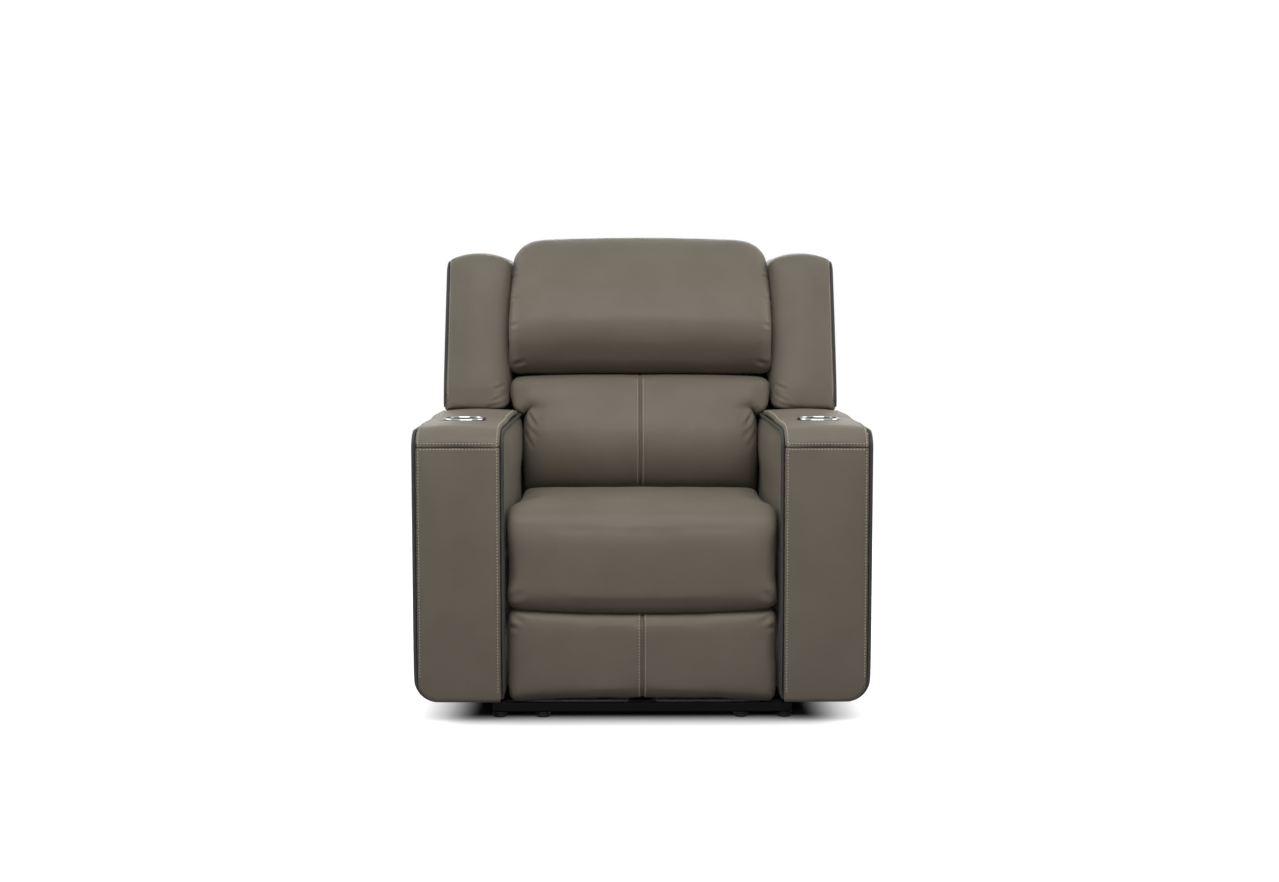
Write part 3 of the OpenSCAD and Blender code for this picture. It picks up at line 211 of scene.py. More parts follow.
def thread_material():
    material, tree, shader = new_material("beige_thread")
    place = object_place(tree)
    twist = node(tree, "ShaderNodeTexWave", {"Scale": 260.0, "Distortion": 1.0},
                 bands_direction="DIAGONAL")
    tree.links.new(place, twist.inputs["Vector"])
    colour = ramp(tree, twist.outputs["Fac"], 0.2, 0.9, THREAD_DARK, THREAD_LIGHT)
    tree.links.new(colour, shader.inputs["Base Color"])
    tree.links.new(bump(tree, twist.outputs["Fac"], 0.0002), shader.inputs["Normal"])
    shader.inputs["Roughness"].default_value = 0.65
    return material


thread = thread_material()
print("thread:", thread.name)

# %% [markdown]
# The mechanism below the seat is steel under a black powder coat, and its pins, rods and springs are
# zinc plated. The coat's orange peel is a bump of fine noise. Zinc grows in crystals that differ in
# brightness, so the distance inside Voronoi cells drives both its colour and its gloss.


# %% Steel and zinc
STEEL_DARK, STEEL_LIGHT = (0.0025, 0.0027, 0.0031), (0.0055, 0.0058, 0.0064)
ZINC_DARK, ZINC_LIGHT = (0.50, 0.51, 0.53), (0.64, 0.65, 0.66)


def coated_steel_material():
    material, tree, shader = new_material("black_powder_coat")
    place = object_place(tree)
    patches = noise(tree, place, 30.0)
    tree.links.new(ramp(tree, patches, 0.3, 0.7, STEEL_DARK, STEEL_LIGHT), shader.inputs["Base Color"])
    tree.links.new(bump(tree, noise(tree, place, 900.0, 2.0), 0.0002, 0.5), shader.inputs["Normal"])
    tree.links.new(spread(tree, patches, 0.42, 0.58), shader.inputs["Roughness"])
    shader.inputs["Specular IOR Level"].default_value = 0.08
    return material


def zinc_material():
    material, tree, shader = new_material("zinc_plate")
    place = object_place(tree)
    crystals = node(tree, "ShaderNodeTexVoronoi", {"Scale": 240.0})
    tree.links.new(place, crystals.inputs["Vector"])
    depth = crystals.outputs["Distance"]
    tree.links.new(ramp(tree, depth, 0.1, 0.8, ZINC_DARK, ZINC_LIGHT), shader.inputs["Base Color"])
    tree.links.new(spread(tree, depth, 0.28, 0.45), shader.inputs["Roughness"])
    tree.links.new(bump(tree, noise(tree, place, 500.0), 0.0001, 0.5), shader.inputs["Normal"])
    shader.inputs["Metallic"].default_value = 1.0
    return material


coated_steel = coated_steel_material()
zinc = zinc_material()
print("metals of the mechanism:", coated_steel.name, zinc.name)

# %% [markdown]
# The arm boxes and the boards at the seat's front and behind the footrest are birch plywood. Noise on
# stretched coordinates turns into long grain, and a wave along the depth shows the plies at the cut
# edges.


# %% Plywood
BIRCH_DARK, BIRCH_LIGHT = (0.33, 0.20, 0.10), (0.62, 0.45, 0.27)


def plywood_material():
    material, tree, shader = new_material("birch_plywood")
    grain = noise(tree, object_place(tree, (60, 60, 4)), 3.0, 5.0, 0.6)
    plies = node(tree, "ShaderNodeTexWave", {"Scale": 110.0, "Distortion": 0.6}, bands_direction="Y")
    tree.links.new(object_place(tree), plies.inputs["Vector"])
    tone = node(tree, "ShaderNodeMath", operation="MULTIPLY")
    tree.links.new(grain, tone.inputs[0])
    tree.links.new(spread(tree, plies.outputs["Fac"], 0.8, 1.1), tone.inputs[1])
    tree.links.new(ramp(tree, tone.outputs["Value"], 0.3, 0.7, BIRCH_DARK, BIRCH_LIGHT),
                   shader.inputs["Base Color"])
    tree.links.new(bump(tree, grain, 0.0004, 0.6), shader.inputs["Normal"])
    shader.inputs["Roughness"].default_value = 0.72
    return material


plywood = plywood_material()
print("board:", plywood.name)

# %% [markdown]
# The cup holders are spun metal: polished on the rim, with faint turning lines. Down inside, where
# little light comes back out, their colour is painted dark as shade. The height alone tells rim from
# inside, so it mixes the rim's tones with that painted shade. The switch plate, the glides and the
# motors' cases are moulded black plastic.


# %% Cup holders and plastic
# the heights between which the painted shade inside turns into the polished rim
RIM_FROM, RIM_TO = 0.6535, 0.6560
RIM_DARK, RIM_LIGHT = (0.36, 0.37, 0.39), (0.45, 0.46, 0.48)
# painted shade: the dark colour inside the cups stands for light that does not come back out
CUP_PAINTED_SHADE = (0.10, 0.10, 0.105)
PLASTIC_DARK, PLASTIC_LIGHT = (0.010, 0.010, 0.011), (0.018, 0.018, 0.019)


def chrome_material():
    material, tree, shader = new_material("polished_metal")
    place = object_place(tree)
    turning = noise(tree, object_place(tree, (40, 40, 2600)), 1.0, 2.0)
    polish = ramp(tree, noise(tree, place, 60.0), 0.3, 0.7, RIM_DARK, RIM_LIGHT)
    height = node(tree, "ShaderNodeSeparateXYZ")
    tree.links.new(place, height.inputs[0])
    rim = node(tree, "ShaderNodeMapRange", {"From Min": RIM_FROM, "From Max": RIM_TO})
    tree.links.new(height.outputs["Z"], rim.inputs["Value"])
    # below the rim the base colour is painted shade, not the metal's own colour
    brightness = node(tree, "ShaderNodeMixRGB", {"Color1": rgba(CUP_PAINTED_SHADE)})
    tree.links.new(rim.outputs["Result"], brightness.inputs["Fac"])
    tree.links.new(polish, brightness.inputs["Color2"])
    tree.links.new(brightness.outputs["Color"], shader.inputs["Base Color"])
    tree.links.new(spread(tree, turning, 0.12, 0.24), shader.inputs["Roughness"])
    tree.links.new(bump(tree, turning, 0.00004, 0.6), shader.inputs["Normal"])
    shader.inputs["Metallic"].default_value = 1.0
    return material


def plastic_material():
    material, tree, shader = new_material("black_plastic")
    place = object_place(tree)
    patches = noise(tree, place, 40.0)
    tree.links.new(ramp(tree, patches, 0.3, 0.7, PLASTIC_DARK, PLASTIC_LIGHT), shader.inputs["Base Color"])
    tree.links.new(bump(tree, noise(tree, place, 1400.0, 1.0), 0.00012, 0.6), shader.inputs["Normal"])
    tree.links.new(spread(tree, noise(tree, place, 18.0), 0.4, 0.52), shader.inputs["Roughness"])
    shader.inputs["Specular IOR Level"].default_value = 0.22
    return material


chrome = chrome_material()
plastic = plastic_material()
print("fittings:", chrome.name, plastic.name)

# %% [markdown]
# The webbing inside the back and the skirt below it are black cloth, woven from threads that cross.
# Two wave textures at a right angle, multiplied, stand up where a thread of the one lies over a
# thread of the other, which costs no geometry on a surface that is seldom seen.


# %% Backing cloth
CLOTH_DARK, CLOTH_LIGHT = (0.008, 0.008, 0.008), (0.028, 0.027, 0.026)


def cloth_material():
    material, tree, shader = new_material("black_backing_cloth")
    weft = node(tree, "ShaderNodeTexWave", {"Scale": 170.0}, bands_direction="X")
    warp = node(tree, "ShaderNodeTexWave", {"Scale": 170.0}, bands_direction="Z")
    weave = node(tree, "ShaderNodeMath", operation="MULTIPLY")
    for index, wave in enumerate((weft, warp)):
        tree.links.new(object_place(tree), wave.inputs["Vector"])
        tree.links.new(wave.outputs["Fac"], weave.inputs[index])
    raised = weave.outputs["Value"]
    tree.links.new(ramp(tree, raised, 0.1, 0.8, CLOTH_DARK, CLOTH_LIGHT), shader.inputs["Base Color"])
    tree.links.new(bump(tree, raised, 0.0006), shader.inputs["Normal"])
    shader.inputs["Roughness"].default_value = 0.85
    shader.inputs["Sheen Weight"].default_value = 0.2
    return material


cloth = cloth_material()
print("cloth:", cloth.name)

# %% [markdown]
# The frame's own pieces keep their exact form and get their finish here. Each one's slot in the
# record says what it is made of, so a table from slot to material dresses them all.

# %% Finish of the frame's pieces
FINISHES = {
    "leather": leather, "leather_side": side_leather, "piping": piping_leather,
    "black_steel": coated_steel, "zinc": zinc, "plywood": plywood, "chrome": chrome,
    "plastic": plastic, "cloth": cloth,
}
for part in frame["record"]["subparts"]:
    mesh = nodes[part["node"]].data
    finish = FINISHES[part["material_slot"]]
    if not mesh.materials:
        mesh.materials.append(finish)
    for index in range(len(mesh.materials)):
        mesh.materials[index] = finish

# %% [markdown]
# The seat stands on a white studio floor. Seen by the camera, or mirrored in metal, it is white paper
# that keeps the seat's shadow, with painted shade darkening its colour where the seat closes it in, and
# a light of its own lifts it to pure white a hand's width outside the seat's feet. To the light that
# bounces it is much darker, so that the undersides of the cushions fall off as they do in a studio.


# %% Floor
FOOTPRINT = (0.36, 0.39, 0.0)
SHADOW_REACH = (0.16, 0.16)
PAINTED_SHADE_REACH = 0.30
PAINTED_SHADE_BLACK, PAPER, BOUNCE = (0.0, 0.0, 0.0), (0.9, 0.9, 0.9), (0.07, 0.07, 0.07)


def floor_material():
    material, tree, shader = new_material("studio_floor")
    tree.nodes.remove(shader)
    output = tree.nodes["Material Output"]
    # painted shade: occlusion takes the paper's colour towards black where the seat is close by
    painted_shade_occlusion = node(tree, "ShaderNodeAmbientOcclusion", {"Distance": PAINTED_SHADE_REACH}, samples=6)
    painted_shade_share = node(tree, "ShaderNodeMath", {1: 2.0}, operation="POWER")
    tree.links.new(painted_shade_occlusion.outputs["AO"], painted_shade_share.inputs[0])
    paper = node(tree, "ShaderNodeBsdfDiffuse")
    tree.links.new(ramp(tree, painted_shade_share.outputs["Value"], 0.0, 1.0, PAINTED_SHADE_BLACK, PAPER), paper.inputs["Color"])
    place = node(tree, "ShaderNodeTexCoord").outputs["Object"]
    mirrored = node(tree, "ShaderNodeVectorMath", operation="ABSOLUTE")
    tree.links.new(place, mirrored.inputs[0])
    beyond = node(tree, "ShaderNodeVectorMath", {1: FOOTPRINT}, operation="SUBTRACT")
    tree.links.new(mirrored.outputs["Vector"], beyond.inputs[0])
    outside = node(tree, "ShaderNodeVectorMath", {1: (0.0, 0.0, 0.0)}, operation="MAXIMUM")
    tree.links.new(beyond.outputs["Vector"], outside.inputs[0])
    share = node(tree, "ShaderNodeVectorMath", {1: (1 / SHADOW_REACH[0], 1 / SHADOW_REACH[1], 0.0)},
                 operation="MULTIPLY")
    tree.links.new(outside.outputs["Vector"], share.inputs[0])
    away = node(tree, "ShaderNodeVectorMath", operation="LENGTH")
    tree.links.new(share.outputs["Vector"], away.inputs[0])
    fade = node(tree, "ShaderNodeMapRange", interpolation_type="SMOOTHSTEP")
    tree.links.new(away.outputs["Value"], fade.inputs["Value"])
    lift = node(tree, "ShaderNodeEmission")
    tree.links.new(fade.outputs["Result"], lift.inputs["Strength"])
    view = node(tree, "ShaderNodeAddShader")
    tree.links.new(paper.outputs[0], view.inputs[0])
    tree.links.new(lift.outputs[0], view.inputs[1])
    bounce = node(tree, "ShaderNodeBsdfDiffuse", {"Color": rgba(BOUNCE)})
    mix = node(tree, "ShaderNodeMixShader")
    tree.links.new(seen_directly(tree), mix.inputs["Fac"])
    tree.links.new(bounce.outputs[0], mix.inputs[1])
    tree.links.new(view.outputs[0], mix.inputs[2])
    tree.links.new(mix.outputs[0], output.inputs["Surface"])
    return material


def link(piece):
    bpy.context.scene.collection.objects.link(piece)
    return piece


bm = bmesh.new()
bmesh.ops.create_grid(bm, x_segments=1, y_segments=1, size=20.0)
floor_mesh = bpy.data.meshes.new("studio_floor")
bm.to_mesh(floor_mesh)
bm.free()
floor_mesh.materials.append(floor_material())
floor = link(bpy.data.objects.new("studio_floor", floor_mesh))
print("floor", floor.dimensions[:2])

# %% [markdown]
# The light is soft and mostly from one large panel above and in front of the seat, which lets the
# fronts grow darker towards the floor. Weak panels in front, one of them low down, others at the
# sides, one behind, and a faint grey sky keep the rest from going black. Their powers were fitted to
# the photograph's shading.

# %% World and lamps
AMBIENT = 0.04
WHITE = (1.0, 1.0, 1.0)
# name, place, the point it faces, size, watts
PANELS = (
    ("overhead_panel", (0.0, -1.8, 2.5), (0.0, -0.2, 0.5), (2.4, 1.0), 53),
    ("front_panel", (0.0, -3.4, 1.1), (0.0, 0.0, 0.6), (2.0, 1.0), 3),
    ("low_panel", (0.0, -2.2, 0.45), (0.0, -0.4, 0.4), (1.6, 0.5), 2.4),
    ("left_panel", (-2.6, 0.3, 1.8), (0.0, 0.0, 0.6), (1.4, 1.4), 24),
    ("right_panel", (2.6, 0.3, 1.8), (0.0, 0.0, 0.6), (1.4, 1.4), 24),
    ("rear_panel", (0.0, 2.8, 2.0), (0.0, 0.2, 0.7), (2.4, 1.4), 26),
)

world = bpy.data.worlds.new("studio")
world.use_nodes = True
bpy.context.scene.world = world
sky_tree = world.node_tree
ambient = sky_tree.nodes["Background"]
ambient.inputs["Color"].default_value = rgba(WHITE)
ambient.inputs["Strength"].default_value = AMBIENT
white_sky = node(sky_tree, "ShaderNodeBackground", {"Color": rgba(WHITE), "Strength": 1.0})
sky_mix = node(sky_tree, "ShaderNodeMixShader")
sky_tree.links.new(seen_directly(sky_tree), sky_mix.inputs["Fac"])
sky_tree.links.new(ambient.outputs[0], sky_mix.inputs[1])
sky_tree.links.new(white_sky.outputs[0], sky_mix.inputs[2])
sky_tree.links.new(sky_mix.outputs[0], sky_tree.nodes["World Output"].inputs["Surface"])


def panel_lamp(name, place, aim, size, watts):
    """A rectangular lamp that faces the point aim."""
    data = bpy.data.lights.new(name, "AREA")
    data.shape = "RECTANGLE"
    data.size, data.size_y = size
    data.energy = watts
    lamp = link(bpy.data.objects.new(name, data))
    lamp.location = place
    lamp.rotation_euler = (Vector(aim) - Vector(place)).to_track_quat("-Z", "Y").to_euler()


for panel in PANELS:
    panel_lamp(*panel)

# %% [markdown]
# Every upholstered piece starts from the solid that holds its place in the frame. The solid's mesh
# is copied, its loose triangles are merged, and it is remeshed into small even squares, which can
# bend and wrinkle as leather does. The record tells which body it rides on.

# %% Copies of the frame's forms
BODY_OF = {name: body for body, names in frame["record"]["behaviour"]["bodies"].items() for name in names}


def form_mesh(node_name):
    """The merged mesh of a frame node, which stays as it is."""
    made = bmesh.new()
    made.from_mesh(nodes[node_name].data)
    bmesh.ops.remove_doubles(made, verts=made.verts, dist=1e-5)
    mesh = bpy.data.meshes.new(node_name + "_form")
    made.to_mesh(mesh)
    made.free()
    if "custom_normal" in mesh.attributes:
        mesh.attributes.remove(mesh.attributes["custom_normal"])
    return mesh


def surface_tree(mesh):
    """A search tree over a mesh's faces."""
    made = bmesh.new()
    made.from_mesh(mesh)
    tree = BVHTree.FromBMesh(made)
    made.free()
    return tree


def apply_modifiers(piece):
    """Fixes what the piece's modifiers make into its mesh."""
    graph = bpy.context.evaluated_depsgraph_get()
    mesh = bpy.data.meshes.new_from_object(piece.evaluated_get(graph))
    piece.modifiers.clear()
    piece.data = mesh


def even_copy(name, node_name, voxel, smoothing, shrink=0.0):
    """A new piece over a frame node, in even squares, its edges softened and its skin drawn in."""
    piece = link(bpy.data.objects.new(name, form_mesh(node_name)))
    remesh = piece.modifiers.new("even_squares", "REMESH")
    remesh.mode = "VOXEL"
    remesh.voxel_size = voxel
    smooth = piece.modifiers.new("soft_edges", "SMOOTH")
    smooth.factor = 0.5
    smooth.iterations = smoothing
    if shrink:
        inwards = piece.modifiers.new("drawn_in", "DISPLACE")
        inwards.strength = -shrink
        inwards.mid_level = 0.0
    apply_modifiers(piece)
    return piece


def points_of(mesh):
    """Points and point normals of a mesh, as arrays."""
    co = np.empty(len(mesh.vertices) * 3)
    no = np.empty(len(mesh.vertices) * 3)
    mesh.vertices.foreach_get("co", co)
    mesh.vertex_normals.foreach_get("vector", no)
    return co.reshape(-1, 3), no.reshape(-1, 3)


def move_points(mesh, co):
    mesh.vertices.foreach_set("co", co.ravel())
    mesh.update()


def fit_out(piece, node_name, finish):
    """Smooth shading and finish, and the piece's place in the assembly."""
    for face in piece.data.polygons:
        face.use_smooth = True
    piece.data.materials.clear()
    piece.data.materials.append(finish)
    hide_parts(node_name)
    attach(piece, BODY_OF[node_name])
    return piece


print("soft forms:", [n for n in nodes if "cushion" in n])

# %% [markdown]
# The cushions are foam and fibre in a leather cover. Cloth simulation shows how a full cover rounds
# itself: each pad starts a little smaller than its solid, pressure swells it for twenty frames, and
# then three limits are set. No point may move further than the foam would let it, none may stand out
# of the solid by more than its neighbours leave room for, and none may sink in by more than a full
# cover does, so that the pads stay as tight as new ones.

# %% Cushions and their limits
PAD_VOXEL = 0.0068
SHRINK = 0.003
MOVE_CAP = 0.026
SWELL_FRAMES = 20
EVENING = 12
# node: (piece, proud to the sides, front, rear, top and bottom, sunk in, fill)
PADS = {
    "seat_cushion": ("seat_pad", (0.002, 0.007, 0.000, 0.007, 0.001), 0.0030, 0.85),
    "footrest_cushion": ("footrest_pad", (0.002, 0.006, 0.000, 0.001, 0.003), 0.0025, 0.9),
    "lumbar_cushion": ("lumbar_pad", (0.004, 0.009, 0.000, 0.001, 0.001), 0.0035, 0.8),
    "head_cushion": ("head_pad", (0.003, 0.008, 0.002, 0.000, 0.001), 0.0030, 0.8),
    "wing_cushion_left": ("wing_pad_left", (0.003, 0.006, 0.002, 0.004, 0.001), 0.0015, 0.8),
    "wing_cushion_right": ("wing_pad_right", (0.003, 0.006, 0.002, 0.004, 0.001), 0.0015, 0.8),
}


def swell(pads):
    """Blows all the pads up together over the frames, and applies the result."""
    scene = bpy.context.scene
    for pad in pads:
        cloth_modifier = pad.modifiers.new("stuffing", "CLOTH")
        settings = cloth_modifier.settings
        settings.quality = 4
        settings.mass = 0.3
        settings.tension_stiffness = settings.compression_stiffness = 15
        settings.shear_stiffness = 5
        settings.bending_stiffness = 0.5
        settings.use_pressure = True
        settings.uniform_pressure_force = 4
        settings.effector_weights.gravity = 0
        cloth_modifier.collision_settings.use_collision = False
        cloth_modifier.collision_settings.use_self_collision = False
        cloth_modifier.point_cache.frame_start = 1
        cloth_modifier.point_cache.frame_end = SWELL_FRAMES
    for number in range(1, SWELL_FRAMES + 1):
        scene.frame_set(number)
    for pad in pads:
        apply_modifiers(pad)
    scene.frame_set(1)


def spread_over(mesh, field, rounds):
    """A value per point, evened out between neighbours the given number of times."""
    pairs = np.empty(len(mesh.edges) * 2, dtype=np.int32)
    mesh.edges.foreach_get("vertices", pairs)
    a, b = pairs.reshape(-1, 2).T
    count = np.bincount(a, minlength=len(field)) + np.bincount(b, minlength=len(field)) + 1.0
    for _ in range(rounds):
        total = field.copy()
        for axis in range(field.shape[1]):
            total[:, axis] += (np.bincount(a, field[b, axis], len(field))
                               + np.bincount(b, field[a, axis], len(field)))
        field = total / count[:, None]
    return field


def hold_to_form(pad, start, tree, proud, sunk):
    """Caps how far each point moved, and how far it stands out of the solid on each side."""
    co, no = points_of(pad.data)
    move = co - start
    length = np.linalg.norm(move, axis=1)
    co = start + move * (MOVE_CAP * np.tanh(length / MOVE_CAP) / np.maximum(length, 1e-9))[:, None]
    side, front, rear, top, bottom = proud
    for index, point in enumerate(co):
        place, normal, _, _ = tree.find_nearest(Vector(point))
        out = (Vector(point) - place).dot(normal)
        n = np.array(normal)
        if out <= 0:
            co[index] = np.array(place) - n * sunk * math.tanh(-out / sunk)
            continue
        room = n[0] ** 2 * side + n[1] ** 2 * (front if n[1] < 0 else rear) \
            + n[2] ** 2 * (top if n[2] > 0 else bottom) + 1e-5
        co[index] = np.array(place) + n * room * math.tanh(out / room)
    move_points(pad.data, start + spread_over(pad.data, co - start, EVENING))


print("pads to swell:", [row[0] for row in PADS.values()])

# %% [markdown]
# All six pads are made the same way.

# %% Swell the cushions
pads, starts, forms = {}, {}, {}
for node_name, (piece_name, _, _, _) in PADS.items():
    forms[node_name] = surface_tree(form_mesh(node_name))
    pads[node_name] = even_copy(piece_name, node_name, PAD_VOXEL, 8, SHRINK)
    starts[node_name] = points_of(pads[node_name].data)[0]
swell(list(pads.values()))
for node_name, (piece_name, proud, sunk, fill) in PADS.items():
    pad = pads[node_name]
    hold_to_form(pad, starts[node_name], forms[node_name], proud, sunk)
    calm = pad.modifiers.new("taut_skin", "SMOOTH")
    calm.factor = 0.5
    calm.iterations = 3
    pad.modifiers.new("finer_skin", "SUBSURF").levels = 1
    apply_modifiers(pad)
    fit_out(pad, node_name, leather)
    print(piece_name, len(pad.data.vertices), "points")

# %% [markdown]
# Upholstery is cut so that each pad rolls away at its edges. A bevel would be even all along an edge,
# and these rolls are wider in some places than in others. Each is a smooth move of points instead,
# which grows like a quarter of an ellipse and fades towards the plane that the back's cushions lean on.


# %% Helpers for rolled edges
BACK_LEAN = math.tan(math.radians(13.0))
LEAN_Y, LEAN_Z = 0.192, 0.402


def quarter(share):
    """How far a rounded edge has turned away: 0 at share 0, 1 at share 1."""
    return 1 - np.sqrt(np.clip(1 - np.clip(share, 0, 1) ** 2, 0, 1))


def ease(value, low, high):
    """A smooth step from 0 at low to 1 at high."""
    share = np.clip((value - low) / (high - low), 0, 1)
    return share * share * (3 - 2 * share)


def front_weight(co, front):
    """1 at a back cushion's front, 0 at the plane that it leans on."""
    plane = LEAN_Y + (co[:, 2] - LEAN_Z) * BACK_LEAN
    return np.clip((plane - co[:, 1]) / (plane - front), 0, 1)


print("the back's plane leans by", round(BACK_LEAN, 4))

# %% [markdown]
# The lumbar cushion curves back under itself above the seat, rounds off beside the arms and flares
# out over them. The head roll tucks its foot back and draws its lower corners out. The wings round
# off towards the head, fill up to the piping, and sit low on the arms.


# %% Shapes of the back's cushions
LUMBAR_FRONT, HEAD_FRONT, WING_FRONT = 0.066, 0.088, 0.106
LUMBAR_ROLL = 0.060
WING_INNER, WING_W = 0.3365, 0.1635
WING_ROLL = 0.040


def shape_lumbar(co):
    x, z = np.abs(co[:, 0]), co[:, 2]
    half = 0.288 + 0.040 * np.clip((z - 0.658) / 0.026, 0, 1)
    aside = 0.022 * quarter((x - half + LUMBAR_ROLL) / LUMBAR_ROLL) * ease(-z, -0.700, -0.640)
    under = 0.074 * quarter((0.618 - z) / 0.176)
    co[:, 1] += (aside + under) * front_weight(co, LUMBAR_FRONT)
    corner = ease(x, 0.290, 0.326) * ease(z, 0.690, 0.735)
    low_flare = ease(x, 0.270, 0.300) * ease(z, 0.580, 0.664) * ease(-z, -0.735, -0.684)
    co[:, 0] *= 1 + 0.034 * ease(-z, -0.670, -0.640) + 0.026 * ease(z, 0.660, 0.690)
    co[:, 2] += 0.005 * corner - 0.024 * low_flare


def shape_head(co):
    corner = ease(np.abs(co[:, 0]), 0.280, 0.326) * ease(-co[:, 2], -0.815, -0.755)
    co[:, 0] += np.sign(co[:, 0]) * 0.007 * corner
    co[:, 2] -= 0.006 * corner
    under = 0.040 * quarter((0.880 - co[:, 2]) / 0.144)
    co[:, 1] += under * front_weight(co, HEAD_FRONT)
    co[:, 2] -= 0.006 * ease(co[:, 2], 0.95, 1.08)


def shape_wing(co):
    x = np.abs(co[:, 0])
    aside = 0.022 * quarter((WING_INNER + WING_ROLL - x) / WING_ROLL)
    co[:, 1] += aside * front_weight(co, WING_FRONT)
    co[:, 0] += np.sign(co[:, 0]) * (0.003 * ease(x, 0.46, 0.485) - 0.006 * ease(-x, -0.40, -0.345))
    wing_drop(co)


def wing_drop(co):
    """The wing's top falls towards the head and the piping, and its foot sits low on the arm."""
    share = (np.abs(co[:, 0]) - WING_INNER) / WING_W
    z = co[:, 2].copy()
    co[:, 2] -= (0.004 + 0.011 * (2 * share - 0.95) ** 2) * ease(z, 0.93, 1.03)
    corner = 0.0045 * front_weight(co, WING_FRONT) + 0.013 * ease(share, 0.80, 1.0)
    co[:, 2] -= (0.0050 + corner) * ease(-z, -0.715, -0.675)


def reshape(node_name, shape):
    """Moves a pad's points by one of the shape functions."""
    pad = pads[node_name]
    co = points_of(pad.data)[0]
    shape(co)
    move_points(pad.data, co)
    print(pad.name, "from", co.min(axis=0).round(4), "to", co.max(axis=0).round(4))


reshape("lumbar_cushion", shape_lumbar)
reshape("head_cushion", shape_head)
reshape("wing_cushion_left", shape_wing)
reshape("wing_cushion_right", shape_wing)

# %% [markdown]
# The seat's front lip hangs down to the footrest, most in its middle, its top is a little hollow
# there, and its rear edge reaches the lumbar cushion's foot. The footrest's top rises behind that lip
# and its foot hangs lower. Both fill the width between the arms.


# %% Shapes of the seat and the footrest
SEAT_HALF_W = 0.285
SEAT_WIDER, FOOTREST_WIDER = 1.012, 1.020


def shape_seat(co):
    """x, y and z are views of co, so each line sees what the lines above it moved."""
    x, y, z = co.T
    middle = np.clip(1 - (x / SEAT_HALF_W) ** 2, 0, 1)
    co[:, 2] -= (0.0075 + 0.0125 * middle) * ease(-z, -0.370, -0.270) * ease(-y, 0.30, 0.36)
    co[:, 2] -= 0.007 * middle * ease(z, 0.40, 0.45)
    co[:, 1] += 0.036 * ease(y, -0.060, 0.056)
    co[:, 0] *= SEAT_WIDER


def shape_footrest(co):
    z = co[:, 2].copy()
    co[:, 2] += 0.0070 * ease(z, 0.150, 0.225) - 0.0110 * ease(-z, -0.120, -0.060)
    co[:, 0] *= FOOTREST_WIDER


reshape("seat_cushion", shape_seat)
reshape("footrest_cushion", shape_footrest)

# %% [markdown]
# A seam pulls the cover down into the foam and leaves a low welt on each side of it. The lumbar
# cushion and the footrest have one down the middle. The skin is first cut along a few planes beside
# the seam, so that there are points where the groove needs them, and then the points are pressed in.


# %% Middle seams
GROOVE = 0.0042
SEAM_CUTS = (-0.009, -0.0055, -0.0025, 0.0, 0.0025, 0.0055, 0.009)


def cut_across(pad, places):
    """Cuts the skin along planes at the given X, which adds rows of points there."""
    made = bmesh.new()
    made.from_mesh(pad.data)
    for x in places:
        bmesh.ops.bisect_plane(made, geom=made.verts[:] + made.edges[:] + made.faces[:], dist=1e-6,
                               plane_co=(x, 0, 0), plane_no=(1, 0, 0))
    made.to_mesh(pad.data)
    made.free()


def middle_seam(pad, welt):
    """A groove at X = 0 on the side that faces forward and up, with a welt on both sides."""
    cut_across(pad, SEAM_CUTS)
    co, no = points_of(pad.data)
    facing = np.clip(-no[:, 1] * 1.5 + 0.4, 0, 1)
    away = np.abs(co[:, 0])
    depth = -GROOVE * np.exp(-(away / 0.0024) ** 2) + welt * np.exp(-((away - 0.0068) / 0.0038) ** 2)
    move_points(pad.data, co + no * (depth * facing)[:, None])


for node_name, welt in (("lumbar_cushion", 0.0014), ("footrest_cushion", 0.0012)):
    middle_seam(pads[node_name], welt)
    print("seam on", pads[node_name].name)

# %% [markdown]
# Where the cover is gathered into a seam it folds a little: beside the arms at the foot of the back,
# at the head roll's sides, at the wings' inner feet, and at the corners of the seat's lip and of the
# footrest. Each fold is a short pressed line between two points, deepest in its middle, with the hide
# raised beside it.


# %% Folds
EYE_AWAY = 1.2


def press_folds(pad, folds):
    """folds: start, end, width, depth. Points near each line move along their normals."""
    co, no = points_of(pad.data)
    depth = np.zeros(len(co))
    for start, end, width, deep in folds:
        a, ab = np.array(start), np.array(end) - np.array(start)
        share = np.clip(((co - a) @ ab) / (ab @ ab), 0, 1)
        away = np.linalg.norm(co - a - share[:, None] * ab, axis=1)
        fade = np.sin(np.pi * np.clip(share, 0.02, 0.98)) ** 0.6
        raised = 0.45 * np.exp(-((away - 2.1 * width) / width) ** 2)
        depth += fade * deep * (raised - np.exp(-(away / width) ** 2))
    move_points(pad.data, co + no * depth[:, None])


def front_point(tree, x, z):
    """The point of a pad's front at X and Z, found by looking along +Y."""
    place = tree.ray_cast(Vector((x, -EYE_AWAY, z)), Vector((0, 1, 0)))[0]
    return tuple(place) if place else (x, 0.1, z)


def front_folds(node_name, rows):
    """rows: x0, z0, x1, z1, width, depth on the front of a pad, for the right side and mirrored."""
    tree = surface_tree(pads[node_name].data)
    press_folds(pads[node_name], [
        (front_point(tree, side * x0, z0), front_point(tree, side * x1, z1), width, deep)
        for x0, z0, x1, z1, width, deep in rows for side in (-1, 1)])
    print("folds on", pads[node_name].name, 2 * len(rows))


